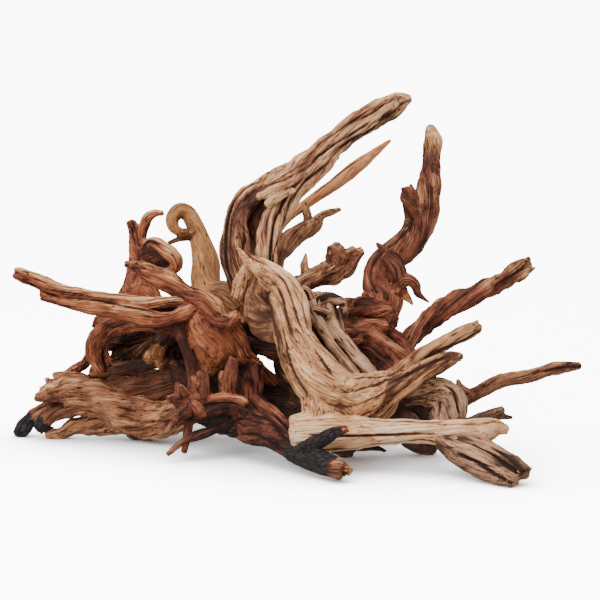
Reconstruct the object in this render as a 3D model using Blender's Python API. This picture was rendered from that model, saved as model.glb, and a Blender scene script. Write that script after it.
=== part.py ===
"""A piece of driftwood: the tangled root end of a tree, worn by water and sun, lying as it is set down.

The wood is one grown solid. Each root or limb is a tube swept along its own smooth line, with
grooves that wind along the grain, and all the tubes are united into one closed body. Its
undersides are worn flat where they touch the ground.

Each limb's line is drawn as on a full-size sheet that stands across the middle of the wood and
faces the eye. A point on it is (across, up, back, radius) in millimetres: across from the sheet's
middle, up from its foot, back behind the sheet along the sight line, and the limb's radius there.
"""

import math
import random
from typing import NamedTuple

import bmesh
import bpy
import numpy as np
from mathutils import Matrix, Vector

MM = 0.001

# The eye that the sheet faces, and where the footprint's middle and the ground lie from the sheet's foot.
EYE_TILT = math.radians(8)
EYE_DISTANCE = 2000
SIGHT_HEIGHT = 148
FOOTPRINT_MIDDLE = (-5.3, 7.8)
GROUND_HEIGHT = 2.0

# How finely a limb is cut: its rings' spacing as a share of its radius but no less than a length,
# the length of a ring's sides, the steps from one drawn point to the next, and the faces kept in all.
RING_STEP = 1.4
LEAST_RING_STEP = 10.0
SIDE_LENGTH = 11.0
FEWEST_SIDES = 5
MOST_SIDES = 10
LINE_STEPS = 24
MOST_FACES = 11500

# The grain's ridges, its slow sway from side to side, and the teeth of a torn end, as shares of
# the radius. The sway repeats along the limb by SWAY_LENGTH millimetres a radian.
GROOVE_SHARPNESS = 2
RIDGE_LIFT = 0.3
SWAY = 0.05
SWAY_LENGTH = 21.0
TEETH = 8
TOOTH_LENGTH = 0.9

# A limb that runs this nearly straight at the eye takes the way up as its depth instead.
HEAD_ON = 0.95

WOOD_COLOUR = (0.36, 0.19, 0.11, 1.0)
WOOD_ROUGHNESS = 0.85


class Limb(NamedTuple):
    """One root or branch: its line, its grooves, and how its two ends are finished.

    ribs grooves wind once per turn millimetres, each groove deep as a share of the radius.
    thick is the limb's thickness along the sight line as a share of its seen width.
    """

    name: str
    line: list
    ribs: int = 3
    groove: float = 0.16
    turn: float = 420.0
    thick: float = 0.9
    torn_start: bool = False
    torn_end: bool = False


def pale_root():
    """The bleached root in front: a spike that swells to a forked hip, and the log across its foot."""
    return [
        Limb("spike", [
            (-63, 200, -20, 1.5), (-48, 186, -30, 7), (-30, 172, -42, 12), (-15, 156, -55, 16),
            (-8, 133, -68, 17), (-3, 108, -80, 19), (8, 83, -90, 22), (22, 62, -96, 25),
            (40, 48, -98, 24)
        ], ribs=3, groove=0.2, turn=500),
        Limb("hip", [
            (14, 55, -95, 20), (42, 50, -97, 24), (68, 54, -92, 19), (90, 64, -84, 13)
        ], groove=0.12),
        Limb("heel", [(22, 56, -98, 22), (20, 38, -106, 17), (18, 20, -112, 15)], groove=0.1),
        Limb("upper_prong", [
            (70, 56, -88, 12), (92, 71, -82, 9), (118, 90, -70, 7.5), (145, 106, -58, 7),
            (164, 115, -48, 7.5), (178, 121, -41, 6.5)
        ], ribs=2, groove=0.22, torn_end=True),
        Limb("lower_prong", [
            (70, 46, -92, 14), (95, 60, -90, 12.5), (120, 76, -84, 10), (145, 87, -76, 8),
            (160, 92, -70, 3.5)
        ], ribs=3, groove=0.2, torn_end=True),
        Limb("fork_brace", [(88, 62, -86, 11), (88, 43, -86, 9), (74, 32, -92, 9)]),
        Limb("log", [
            (-9, 18, -112, 13), (0, 18, -113, 16.5), (40, 15, -118, 16), (80, 16, -118, 12.5),
            (120, 17, -118, 11), (150, 15, -120, 13), (178, 16, -124, 13), (196, 20, -126, 9),
            (206, 18, -127, 4)
        ], ribs=2, groove=0.2, turn=900, torn_end=True),
        Limb("upper_leg", [
            (155, 14, -124, 10), (185, -2, -140, 9.5), (207, -14, -158, 8.5), (224, -25, -172, 7.5)
        ], ribs=2, groove=0.2, torn_end=True),
        Limb("lower_leg", [
            (140, 8, -124, 8), (158, -4, -136, 9.5), (176, -14, -150, 10.5), (196, -25, -164, 9.5),
            (213, -33.5, -178, 6.5)
        ], ribs=2, groove=0.2, torn_end=True),
        Limb("block", [
            (98, 56, -70, 13), (125, 55, -66, 14.5), (146, 46, -68, 19), (149, 22, -84, 20)
        ], ribs=2, groove=0.12, thick=0.7),
        Limb("block_wall", [(108, 50, -60, 13), (122, 38, -56, 14), (132, 24, -66, 13)]),
        Limb("under_brace", [(82, 50, -72, 11), (98, 38, -72, 8), (114, 24, -86, 7)]),
        Limb("right_splinter", [
            (155, 20, -108, 7), (176, 28, -102, 5.5), (195, 35, -100, 5), (203, 39, -100, 2.5)
        ], groove=0.3, torn_end=True),
        Limb("right_barb", [(188, 32, -101, 4.5), (200, 32, -101, 3.5), (213, 30, -102, 1.5)]),
        Limb("belly", [
            (-38, 165, -30, 7), (-42, 146, -38, 12), (-36, 126, -48, 15.5), (-15, 114, -60, 13)
        ], ribs=4, groove=0.14, turn=160),
        Limb("slab", [
            (-52, 184, -24, 4), (-56, 168, -20, 8), (-62, 152, -18, 6)
        ], groove=0.25, thick=0.6, torn_end=True),
        Limb("strand", [(-42, 172, -26, 4), (-49, 151, -30, 5), (-44, 134, -34, 5)]),
    ]


def grey_ribs():
    """The weathered ribs that run from a gnarled head down behind the bleached root."""
    return [
        Limb("left_rib", [(10, 146, -38, 6), (18, 126, -45, 6), (35, 98, -57, 5.5), (58, 66, -76, 7)]),
        Limb("right_rib", [(26, 143, -30, 6), (31, 120, -38, 7), (50, 98, -48, 6.5), (78, 68, -70, 7)]),
        Limb("back_rib", [(34, 136, -14, 8), (38, 110, -22, 9), (58, 86, -36, 9), (76, 62, -56, 11)]),
        Limb("gnarl", [
            (0, 134, -32, 10), (17, 145, -28, 9.5), (34, 144, -20, 7)
        ], ribs=5, groove=0.3, turn=60, torn_end=True),
        Limb("gnarl_knob", [(30, 148, -20, 5.5), (43, 144, -16, 3.5)], torn_end=True),
        Limb("gnarl_crest", [(4, 150, -28, 5), (20, 154, -30, 3.5)], torn_end=True),
    ]


def tall_branch():
    """The tallest limb: four strands that rise apart from the crown and join into one long arm."""
    return [
        Limb("outer_strand", [
            (-52, 126, 12, 12), (-64, 158, 12, 8), (-71, 186, 16, 7.5), (-71, 213, 20, 8),
            (-66, 236, 24, 8.5), (-54, 253, 28, 8.5), (-34, 263, 30, 9.5), (-15, 272, 32, 11)
        ], ribs=4, groove=0.22),
        Limb("middle_strand", [
            (-50, 132, 15, 10), (-58, 178, 15, 8.5), (-60, 208, 16, 8), (-58, 233, 18, 6),
            (-39, 253, 21, 6.5), (-16, 267, 28, 9)
        ], ribs=2, groove=0.2),
        Limb("inner_strand", [
            (-40, 134, 28, 11), (-44, 166, 32, 10), (-45, 213, 35, 9), (-37, 236, 36, 8),
            (-16, 260, 35, 9)
        ], ribs=3, groove=0.2),
        Limb("pale_strand", [
            (-30, 130, 4, 15), (-33, 168, 5, 11.5), (-32, 198, 8, 11), (-29, 221, 12, 11),
            (-18, 243, 18, 10.5), (-4, 262, 25, 11), (14, 279, 30, 11.5), (34, 297, 34, 10)
        ], ribs=4, groove=0.2),
        Limb("arm", [
            (-27, 263, 29, 10), (0, 277, 32, 13), (20, 293.5, 34, 13.5), (45, 312.5, 36, 12.5),
            (68, 329, 38, 12), (88, 342, 40, 12), (102, 349.5, 42, 8.5), (109, 349, 43, 4.5)
        ], ribs=4, groove=0.18, turn=700, torn_end=True),
        Limb("arm_knob", [(-36, 262, 30, 7), (-31, 270, 28, 5)], torn_end=True),
    ]


def red_crown():
    """The red left of the crown: a long split branch, a hook-nosed ridge and the round belly below."""
    return [
        Limb("upper_rail", [
            (-282, 175, -60, 5.5), (-260, 165, -59, 7.5), (-238, 156, -58, 7), (-200, 149, -56, 6),
            (-160, 144, -53, 5.5), (-125, 146.5, -50, 5), (-104, 141, -44, 8)
        ], ribs=2, groove=0.14, torn_start=True),
        Limb("lower_rail", [
            (-258, 152, -57, 4), (-230, 146, -58, 6), (-195, 139, -58, 7), (-165, 133, -57, 7.5),
            (-140, 128.5, -54, 7), (-117, 134, -50, 6.5), (-100, 142, -44, 9)
        ], ribs=2, groove=0.14, torn_start=True),
        Limb("web", [
            (-240, 151, -52, 5), (-194, 144, -49, 7), (-150, 138, -45, 8), (-122, 138, -38, 7),
            (-100, 138, -36, 9)
        ], ribs=3, groove=0.2),
        Limb("ridge", [
            (-174, 184, -35, 3.5), (-155, 178, -38, 8.5), (-135, 168, -42, 10), (-115, 156, -46, 10),
            (-95, 147, -52, 10.5), (-85, 134, -58, 10), (-75, 127, -62, 8.5), (-64, 132, -66, 5.5)
        ], ribs=4, groove=0.16, torn_start=True, torn_end=True),
        Limb("belly_trunk", [
            (-100, 146, -38, 12), (-94, 124, -37, 21), (-87, 103, -36, 24), (-90, 86, -36, 16),
            (-93, 74, -38, 7)
        ], ribs=4, groove=0.12, turn=300),
        Limb("flank", [
            (-74, 128, -44, 10), (-62, 108, -38, 9), (-57, 93, -34, 9.5), (-45, 85, -26, 6.5),
            (-32, 81, -12, 5), (-17, 64, 0, 6), (-4, 50, 4, 8)
        ], groove=0.14),
        Limb("left_leg", [
            (-124, 128, -40, 7), (-117, 106, -46, 6), (-111, 86, -52, 5.5), (-107, 63, -58, 6),
            (-107, 46, -62, 8)
        ]),
        Limb("arch", [
            (-200, 78, 12, 8), (-207, 98, 8, 8.5), (-202, 113, 2, 9), (-185, 123, -8, 7),
            (-160, 123.5, -18, 5.5), (-135, 120, -30, 7), (-112, 114, -36, 10)
        ], groove=0.18),
        Limb("arch_spur", [
            (-184, 124, 2, 7), (-199, 129, 10, 5.5), (-206, 121, 14, 2.5)
        ], torn_end=True),
        Limb("arch_foot", [(-202, 100, 12, 8), (-216, 84, 22, 5.5), (-235, 74, 32, 2.5)], torn_end=True),
    ]


def spider_knot():
    """The knot low in front, with its stubs and twigs."""
    return [
        Limb("knot", [
            (-118, 34, -60, 8), (-107, 46, -66, 12), (-98, 60, -68, 8.5), (-97, 73, -70, 6)
        ], ribs=4, groove=0.25, torn_end=True),
        Limb("left_barb", [(-106, 48, -66, 9), (-119, 56, -68, 6), (-123, 64, -70, 3.5)], torn_end=True),
        Limb("low_barb", [
            (-108, 42, -64, 10), (-124, 48, -66, 6.5), (-133, 50, -68, 2.5)
        ], torn_end=True),
        Limb("crescent", [
            (-106, 38, -66, 10), (-85, 42, -64, 10), (-65, 42, -62, 10), (-51, 30, -60, 10),
            (-44, 16, -64, 13)
        ], groove=0.2),
        Limb("low_crescent", [(-100, 34, -62, 8), (-80, 28, -58, 9), (-58, 24, -58, 12)], groove=0.2),
        Limb("stub", [
            (-66, 38, -62, 10), (-72, 58, -66, 7), (-69, 76, -69, 6.5), (-66, 89, -72, 5)
        ], torn_end=True),
        Limb("stub_thorn", [(-70, 54, -66, 7), (-78, 67, -66, 4.5), (-78, 76, -66, 2.5)], torn_end=True),
        Limb("prop", [
            (-44, 86, -18, 11), (-43, 58, -36, 10.5), (-47, 36, -52, 9.5), (-44, 18, -62, 11)
        ], groove=0.2),
        Limb("long_twig", [
            (-55, 33, -64, 9), (-72, 24, -70, 7.5), (-95, 15, -74, 5.5), (-115, 7, -76, 4.2),
            (-133, -7, -78, 2.6)
        ]),
        Limb("short_twig", [(-112, 34, -62, 5.5), (-113, 13, -60, 4), (-116, -4, -58, 2.8)]),
    ]


def front_root():
    """The root that comes forward at the foot and ends in a charred fork."""
    return [
        Limb("front_root", [
            (-64, 34, -48, 14), (-46, 22, -60, 17), (-25, 11, -85, 14), (-5, -2, -112, 12),
            (18, -14, -138, 10.5), (40, -26, -158, 9)
        ], groove=0.16, torn_end=True),
        Limb("red_fin", [
            (-46, 50, -54, 9), (-30, 33, -70, 9), (-8, 10, -102, 7)
        ], groove=0.2, thick=0.6),
        Limb("charred_arm", [
            (-6, -6, -114, 9), (15, 4, -138, 7.5), (34, 17, -150, 6.5), (46, 19, -153, 4.5)
        ], torn_end=True),
        Limb("bright_splinter", [
            (14, -8, -138, 7), (35, -15, -152, 5.5), (49, -23, -160, 4.2)
        ], torn_end=True),
    ]


def left_logs():
    """The low logs and roots on the left, two of them with charred tips, and the hollow behind them."""
    return [
        Limb("big_log", [
            (-258, 54, 22, 6), (-240, 57, 20, 12), (-215, 53, 18, 15), (-188, 44, 18, 17),
            (-160, 32, 16, 20), (-135, 30, 4, 19), (-112, 38, -12, 16), (-88, 48, -24, 17)
        ], ribs=4, groove=0.15, turn=380, torn_start=True),
        Limb("log_top_tooth", [
            (-214, 64, 22, 7), (-236, 71, 24, 4), (-246, 73, 24, 1.8)
        ], torn_end=True),
        Limb("log_mid_tooth", [
            (-230, 62, 20, 8), (-248, 66, 20, 4), (-255, 69, 20, 1.6)
        ], torn_end=True),
        Limb("log_low_tooth", [
            (-236, 53, 14, 8), (-256, 50, 14, 4.5), (-265, 49, 14, 1.8)
        ], torn_end=True),
        Limb("log_foot", [
            (-180, 26, 22, 12), (-157, 18, 28, 12.4), (-140, 24, 20, 12)
        ], ribs=4, groove=0.2),
        Limb("low_log", [
            (-251, 15.5, 36, 4.5), (-242, 15, 36, 7.6), (-220, 20, 32, 9), (-190, 21, 28, 11),
            (-160, 24, 20, 14)
        ], ribs=3, groove=0.14, torn_start=True),
        Limb("outer_tip", [
            (-284, 14, 46, 5), (-276, 22, 44, 7.5), (-265, 32, 40, 8), (-240, 43, 32, 9),
            (-208, 50, 24, 11)
        ], groove=0.14),
        Limb("inner_tip", [
            (-262, 19, 34, 5), (-254, 27, 30, 8), (-238, 36, 26, 8.5), (-210, 44, 20, 10)
        ], groove=0.14),
        Limb("hollow_lip", [
            (-208, 76, 22, 5), (-185, 78, 13, 5.5), (-160, 80, 4, 6), (-140, 86, -6, 8),
            (-122, 77, -12, 11), (-112, 56, -18, 13)
        ], groove=0.2),
        Limb("hollow_back", [
            (-205, 62, 36, 12), (-165, 60, 34, 17), (-130, 58, 20, 19), (-100, 60, 0, 19)
        ]),
        Limb("shade_root", [
            (-222, 60, 30, 8), (-195, 78, 38, 7), (-170, 90, 42, 8), (-150, 103, 45, 8.5),
            (-130, 118, 45, 10)
        ]),
        Limb("shade_prop", [(-190, 72, 42, 6), (-182, 98, 46, 5.5), (-176, 118, 40, 6)]),
        Limb("sawn_stub", [
            (-115, 113, 10, 12), (-132, 101, -10, 9), (-143, 90, -26, 8)
        ], groove=0.08, torn_end=True),
        Limb("shade_wall", [(-194, 110, 42, 9), (-178, 112, 48, 13), (-150, 114, 52, 16)]),
        Limb("shade_lobe", [
            (-140, 116, 50, 14), (-162, 106, 52, 13), (-174, 92, 48, 9)
        ], ribs=4, groove=0.25),
    ]


def curled_root():
    """The flared root at the back left, with its horn, its curl and its rolled ear."""
    return [
        Limb("flared_trunk", [
            (-150, 112, 58, 25), (-164, 146, 74, 20), (-161, 165, 82, 14.5), (-157, 186, 88, 11),
            (-161, 203, 90, 8.5), (-166, 216, 90, 6), (-171, 225, 90, 2.5)
        ], ribs=4, groove=0.16, turn=500, torn_end=True),
        Limb("top_curl", [
            (-159, 200, 88, 7), (-158, 218, 86, 6), (-153, 230, 84, 5), (-145, 235, 82, 3.6),
            (-137, 235, 80, 2)
        ], groove=0.2, torn_end=True),
        Limb("ear_rim", [
            (-156, 196, 86, 8), (-148, 206, 80, 6.5), (-135, 199, 76, 7), (-125, 189, 74, 7.5),
            (-127, 180, 76, 5.5), (-142, 176, 82, 7)
        ], groove=0.12),
        Limb("ear_web", [(-158, 190, 88, 10), (-145, 190, 86, 12), (-132, 189, 80, 8)], thick=0.5),
    ]


def olive_hook():
    """The smooth olive root at the back that ends in a curled hook."""
    return [
        Limb("hook", [
            (-72, 118, 40, 17), (-86, 145, 62, 16), (-94, 165, 78, 15.5), (-95, 186, 88, 14),
            (-100, 206, 92, 11), (-106, 224, 92, 9), (-112.5, 235, 90, 8.2), (-121, 237.5, 86, 8),
            (-127.5, 230, 82, 7.2), (-126.5, 221, 80, 6), (-120, 216, 80, 4.5), (-113, 217, 84, 3.5)
        ], ribs=2, groove=0.06, turn=900),
        Limb("hook_twig", [(-110, 212, 88, 4.5), (-121, 209, 82, 3), (-131, 205, 80, 2)], torn_end=True),
        Limb("hook_lobe", [
            (-90, 156, 66, 10), (-73, 158, 58, 9), (-66, 146, 50, 10), (-62, 126, 36, 13)
        ]),
    ]


def right_upright():
    """The red limb that stands on the right, with its burls, and the roots that leave its base."""
    return [
        Limb("upright", [
            (70, 124, 40, 20), (82, 145, 48, 18.5), (76, 165, 54, 14.5), (80, 181, 58, 15),
            (95, 192, 62, 16), (111, 208, 66, 15.5), (121, 228, 68, 15), (127, 248, 70, 14),
            (130, 270, 72, 11.5), (132, 290, 74, 8.8), (133, 306, 76, 9.8), (131, 317, 77, 6.5),
            (130, 323, 77, 2.5)
        ], ribs=3, groove=0.12, turn=360),
        Limb("swirl", [(88, 187, 48, 10), (98, 173, 44, 10), (90, 160, 42, 11)], ribs=2),
        Limb("side_knob", [
            (112, 230, 64, 9), (110.5, 248, 62, 9), (107, 260, 60, 5.5)
        ], ribs=4, groove=0.3, turn=90, torn_end=True),
        Limb("thorn", [(93, 191, 56, 7), (84, 198, 54, 3.2), (78, 204, 52, 1.2)]),
        Limb("claw", [
            (94, 160, 44, 8), (108, 168, 42, 5), (116, 162, 40, 4.5), (117, 154, 38, 4),
            (124, 149, 36, 2.2), (130, 145, 34, 1.2)
        ]),
        Limb("claw_twig", [(100, 158, 44, 6), (108, 150, 44, 3), (113, 143, 44, 1.2)]),
        Limb("burl", [
            (52, 128, 36, 15), (66, 131, 34, 17), (82, 130, 34, 17), (95, 130, 36, 9)
        ], ribs=5, groove=0.16, turn=120, torn_end=True),
        Limb("burl_lobe", [(66, 134, 36, 14), (50, 132, 36, 12.5), (42, 122, 34, 9), (45, 108, 30, 9)]),
        Limb("left_nub", [(66, 145, 34, 6), (64, 155, 28, 3)], torn_end=True),
        Limb("right_nub", [(80, 145, 30, 5), (80, 153, 28, 2.4)], torn_end=True),
        Limb("tongue", [
            (44, 118, 20, 8), (62, 117, 12, 7), (80, 108, 6, 8), (98, 93, -5, 8.5), (112, 76, -20, 9),
            (112, 60, -46, 10)
        ], groove=0.2),
        Limb("low_tongue", [
            (45, 108, 20, 10), (66, 96, 10, 11), (85, 80, 0, 12), (98, 62, -30, 13)
        ], groove=0.2),
        Limb("base_root", [
            (68, 124, 34, 15), (88, 113, 28, 10), (102, 102, 24, 11), (110, 84, 10, 12),
            (118, 66, -20, 12)
        ]),
        Limb("reaching_branch", [
            (98, 80, 8, 12), (107, 102, 20, 11.5), (120, 120, 28, 10.5), (138, 135, 36, 10),
            (160, 147, 44, 9.8), (185, 159, 52, 9.8), (208, 172, 60, 9.8), (223, 180, 66, 9),
            (229, 183, 68, 6.5)
        ], ribs=5, groove=0.16, torn_end=True),
    ]


def back_branches():
    """The lighter branches that rise behind the tall limb, and the one that leaves low on the right."""
    return [
        Limb("thin_branch", [
            (-44, 132, 44, 14), (-36, 172, 62, 9.5), (-28, 208, 85, 7), (-16, 227, 96, 5.5),
            (5, 243, 104, 5), (30, 261, 110, 6), (50, 277, 114, 7), (70, 292, 118, 5),
            (91, 308, 122, 1.8)
        ], groove=0.08),
        Limb("short_branch", [
            (-38, 140, 48, 13), (-32, 174, 68, 10), (-18, 198, 86, 9.5), (-2, 213, 94, 9.5),
            (14, 223, 98, 8), (21, 232, 100, 4.5), (31, 236, 100, 3.5), (41, 239, 100, 1.6)
        ], groove=0.14),
        Limb("bridge", [(9, 222, 98, 5.5), (7, 234, 101, 3.6), (4, 244, 104, 4.5)]),
        Limb("torn_branch", [
            (-34, 146, 30, 15), (-5, 161, 42, 12), (15, 169, 50, 12), (35, 177, 54, 14),
            (50, 187, 56, 10), (62, 197, 58, 4)
        ], ribs=5, groove=0.2, torn_end=True),
        Limb("torn_knob", [(35, 184, 50, 10), (34, 198, 48, 7.5)], ribs=4, torn_end=True),
        Limb("torn_crest", [(38, 188, 52, 8), (54, 198, 54, 4.5)], torn_end=True),
        Limb("torn_spike", [(6, 170, 46, 6), (5, 184, 44, 3.5), (6, 196, 44, 1.2)], thick=0.5),
        Limb("low_branch", [
            (112, 52, -40, 11), (140, 50, -44, 9), (165, 50, -35, 8), (182, 58, -28, 7.5),
            (200, 66, -20, 7), (230, 71, -10, 6.2), (256, 79, 0, 6), (279, 82, 8, 3)
        ], ribs=2, groove=0.2, torn_end=True),
        Limb("low_thorn", [(170, 54, -36, 5), (160, 62, -38, 3.5), (158, 69, -40, 1.5)]),
    ]


def crown():
    """The heart of the root, and the roots beneath and behind it that it stands on."""
    return [
        Limb("heart", [
            (-140, 103, 52, 20), (-100, 113, 48, 28), (-55, 123, 40, 30), (-10, 128, 33, 26),
            (30, 118, 25, 22), (65, 103, 22, 19)
        ], ribs=5, groove=0.14, turn=260),
        Limb("heart_drop", [
            (-95, 108, 30, 26), (-95, 74, 4, 24), (-84, 40, -28, 19), (-58, 26, -52, 15)
        ]),
        Limb("right_drop", [(20, 106, 14, 20), (32, 78, -30, 20), (30, 50, -76, 20)]),
        Limb("shade_post", [(-6, 124, 20, 16), (-12, 92, 14, 13.5), (-6, 66, 0, 13), (12, 44, -30, 13)]),
        Limb("left_shade_post", [
            (-64, 104, 10, 17), (-60, 76, -8, 15), (-54, 50, -30, 13), (-44, 30, -50, 12)
        ]),
        Limb("olive_log", [
            (-62, 58, -22, 12), (-40, 60, -10, 9.5), (-14, 57, -4, 9), (10, 52, -20, 13)
        ]),
        Limb("low_cross", [
            (-50, 34, -44, 13), (-36, 44, -18, 10), (-14, 39, -18, 9.5), (14, 34, -40, 12),
            (24, 34, -84, 14)
        ]),
        Limb("high_cross", [
            (-62, 102, 8, 8), (-35, 101, 2, 6.5), (-10, 90, -5, 8.5), (10, 72, -28, 11)
        ]),
        Limb("left_under", [
            (12, 42, -62, 13), (30, 13, -58, 12), (50, 2, -52, 10)
        ], groove=0.25, torn_end=True),
        Limb("under_twig", [(46, 4, -52, 7), (72, 1, -46, 4.6), (88, -4, -42, 2)]),
        Limb("right_under", [
            (85, 36, -62, 13), (112, 10, -46, 12), (132, 0.8, -40, 10)
        ], groove=0.25, torn_end=True),
        Limb("left_back_root", [
            (-100, 103, 66, 18), (-115, 70, 110, 13), (-128, 35, 146, 9.5)
        ], groove=0.2, torn_end=True),
        Limb("right_back_root", [
            (25, 118, 44, 18), (50, 78, 95, 12.5), (78, 50, 136, 9.5), (95, 38.5, 156, 7)
        ], groove=0.2, torn_end=True),
        Limb("middle_back_root", [
            (-55, 113, 70, 19), (-62, 78, 125, 12.5), (-70, 54, 170, 9.5), (-74, 43, 190, 8)
        ], groove=0.2, torn_end=True),
        Limb("high_back_spur", [
            (-45, 130, 52, 17), (-45, 168, 116, 8.5), (-50, 193, 148, 5), (-55, 208, 164, 2.2)
        ], torn_end=True),
        Limb("right_back_spur", [
            (45, 108, 50, 14), (65, 88, 108, 9.5), (85, 70, 148, 6), (100, 63, 172, 2.6)
        ], torn_end=True),
        Limb("left_back_spur", [
            (-110, 108, 70, 14), (-125, 118, 125, 9), (-140, 130, 160, 5.5), (-150, 136, 182, 2.6)
        ], torn_end=True),
    ]


def on_sheet(across, up, back):
    """The place, in millimetres, of points drawn on the sheet and moved back along the sight line."""
    grow = 1 + back / EYE_DISTANCE
    rise = SIGHT_HEIGHT + (up - SIGHT_HEIGHT) * grow
    x = across * grow - FOOTPRINT_MIDDLE[0]
    y = rise * math.sin(EYE_TILT) + back * math.cos(EYE_TILT) - FOOTPRINT_MIDDLE[1]
    z = rise * math.cos(EYE_TILT) - back * math.sin(EYE_TILT) - GROUND_HEIGHT
    return np.stack([x, y, z], axis=-1)


def smooth_line(points):
    """A smooth curve through a limb's points, finely divided: places and radii."""
    points = np.array(points, float)
    knots = np.vstack([2 * points[0] - points[1], points, 2 * points[-1] - points[-2]])
    share = np.linspace(0, 1, LINE_STEPS, endpoint=False)[:, None]
    stretches = []
    for before, first, last, after in zip(knots, knots[1:], knots[2:], knots[3:]):
        bend = 2 * before - 5 * first + 4 * last - after
        swing = -before + 3 * first - 3 * last + after
        stretches.append(first + ((last - before) * share + bend * share**2 + swing * share**3) / 2)
    line = np.vstack(stretches + [points[-1:]])
    radii = np.clip(line[:, 3], points[:, 3].min(), points[:, 3].max())
    return on_sheet(line[:, 0], line[:, 1], line[:, 2]), radii


def ring_stations(places, radii):
    """The curve cut to rings, closer together where it is thin: centres, radii and run along it."""
    lengths = np.linalg.norm(np.diff(places, axis=0), axis=1)
    run = np.concatenate([[0], np.cumsum(lengths)])
    spacing = np.maximum(RING_STEP * (radii[1:] + radii[:-1]) / 2, LEAST_RING_STEP)
    count = np.concatenate([[0], np.cumsum(lengths / spacing)])
    rings = max(2, round(count[-1])) + 1
    ring_run = np.interp(np.linspace(0, count[-1], rings), count, run)
    centres = np.stack([np.interp(ring_run, run, places[:, axis]) for axis in range(3)], axis=1)
    return centres, np.interp(ring_run, run, radii), ring_run


def ring_axes(centres):
    """For each ring, the way along the limb, the way to the eye and the way across."""
    along = np.gradient(centres, axis=0)
    along /= np.linalg.norm(along, axis=1, keepdims=True)
    depth = np.array([0, -math.cos(EYE_TILT), math.sin(EYE_TILT)])
    if abs(along[0] @ depth) > HEAD_ON:
        depth = np.array([0, math.sin(EYE_TILT), math.cos(EYE_TILT)])
    depths = []
    for direction in along:
        depth = depth - (depth @ direction) * direction
        depth = depth / np.linalg.norm(depth)
        depths.append(depth)
    depths = np.array(depths)
    return along, depths, np.cross(along, depths)


def grain(limb, phase, angle, run):
    """How far a limb reaches at an angle and a run along it, as a share of its radius."""
    wave = limb.ribs * (angle + 2 * math.pi * run / limb.turn) + phase
    groove = (0.5 + 0.5 * np.cos(wave)) ** GROOVE_SHARPNESS
    sway = np.sin(angle + run / SWAY_LENGTH + phase)
    return 1 + limb.groove * (RIDGE_LIFT - groove) + SWAY * sway


def torn(teeth, angle, radius):
    """How far a torn end's rim stands out along the limb, at each angle."""
    return radius * np.interp(angle, np.linspace(0, 2 * math.pi, TEETH + 1), teeth + teeth[:1])


def limb_rings(limb):
    """The rings of one limb, each a loop of points in millimetres, and the rings' centres."""
    draw = random.Random(limb.name)
    phase = draw.uniform(0, 2 * math.pi)
    start_teeth = [draw.uniform(0, TOOTH_LENGTH) for _ in range(TEETH)]
    end_teeth = [draw.uniform(0, TOOTH_LENGTH) for _ in range(TEETH)]
    centres, radii, run = ring_stations(*smooth_line(limb.line))
    along, depths, across = ring_axes(centres)
    sides = int(np.clip(round(2 * math.pi * radii.max() / SIDE_LENGTH), FEWEST_SIDES, MOST_SIDES))
    angle = np.linspace(0, 2 * math.pi, sides, endpoint=False)
    reach = radii[:, None] * grain(limb, phase, angle[None, :], run[:, None])
    deep = (reach * np.cos(angle) * limb.thick)[:, :, None] * depths[:, None, :]
    wide = (reach * np.sin(angle))[:, :, None] * across[:, None, :]
    rings = centres[:, None, :] + deep + wide
    if limb.torn_start:
        rings[0] -= torn(start_teeth, angle, radii[0])[:, None] * along[0]
    if limb.torn_end:
        rings[-1] += torn(end_teeth, angle, radii[-1])[:, None] * along[-1]
    return rings, centres


def limb_mesh(limb):
    """The closed tube of one limb, as a mesh in metres."""
    rings, centres = limb_rings(limb)
    sides = len(rings[0])
    shape = bmesh.new()
    loops = [[shape.verts.new(Vector(point) * MM) for point in ring] for ring in rings]
    for lower, upper in zip(loops, loops[1:]):
        for side in range(sides):
            after = (side + 1) % sides
            shape.faces.new((lower[side], lower[after], upper[after], upper[side]))
    for loop, centre in ((loops[0], centres[0]), (loops[-1], centres[-1])):
        middle = shape.verts.new(Vector(centre) * MM)
        for side in range(sides):
            shape.faces.new((loop[side], loop[(side + 1) % sides], middle))
    bmesh.ops.triangulate(shape, faces=shape.faces)
    bmesh.ops.recalc_face_normals(shape, faces=shape.faces)
    mesh = bpy.data.meshes.new(limb.name)
    shape.to_mesh(mesh)
    shape.free()
    return mesh


def apply_modifiers(piece):
    """Keeps a piece's shape as its modifiers leave it."""
    bpy.context.view_layer.update()
    seen = piece.evaluated_get(bpy.context.evaluated_depsgraph_get())
    piece.data = bpy.data.meshes.new_from_object(seen)
    piece.modifiers.clear()


def united(limbs):
    """All the limbs as one body."""
    others = bpy.data.collections.new("limbs")
    for limb in limbs[1:]:
        others.objects.link(bpy.data.objects.new(limb.name, limb_mesh(limb)))
    wood = bpy.data.objects.new("driftwood", limb_mesh(limbs[0]))
    bpy.context.scene.collection.objects.link(wood)
    union = wood.modifiers.new("unite the limbs", "BOOLEAN")
    union.operation = "UNION"
    union.operand_type = "COLLECTION"
    union.collection = others
    apply_modifiers(wood)
    for piece in list(others.objects):
        bpy.data.objects.remove(piece)
    bpy.data.collections.remove(others)
    return wood


def connected(verts):
    """The bodies that some points make, each a set of joined points, the smallest first."""
    unseen = set(verts)
    bodies = []
    while unseen:
        body, edge = set(), {unseen.pop()}
        while edge:
            body |= edge
            edge = {link.other_vert(vert) for vert in edge for link in vert.link_edges} - body
        unseen -= body
        bodies.append(body)
    return sorted(bodies, key=len)


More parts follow.
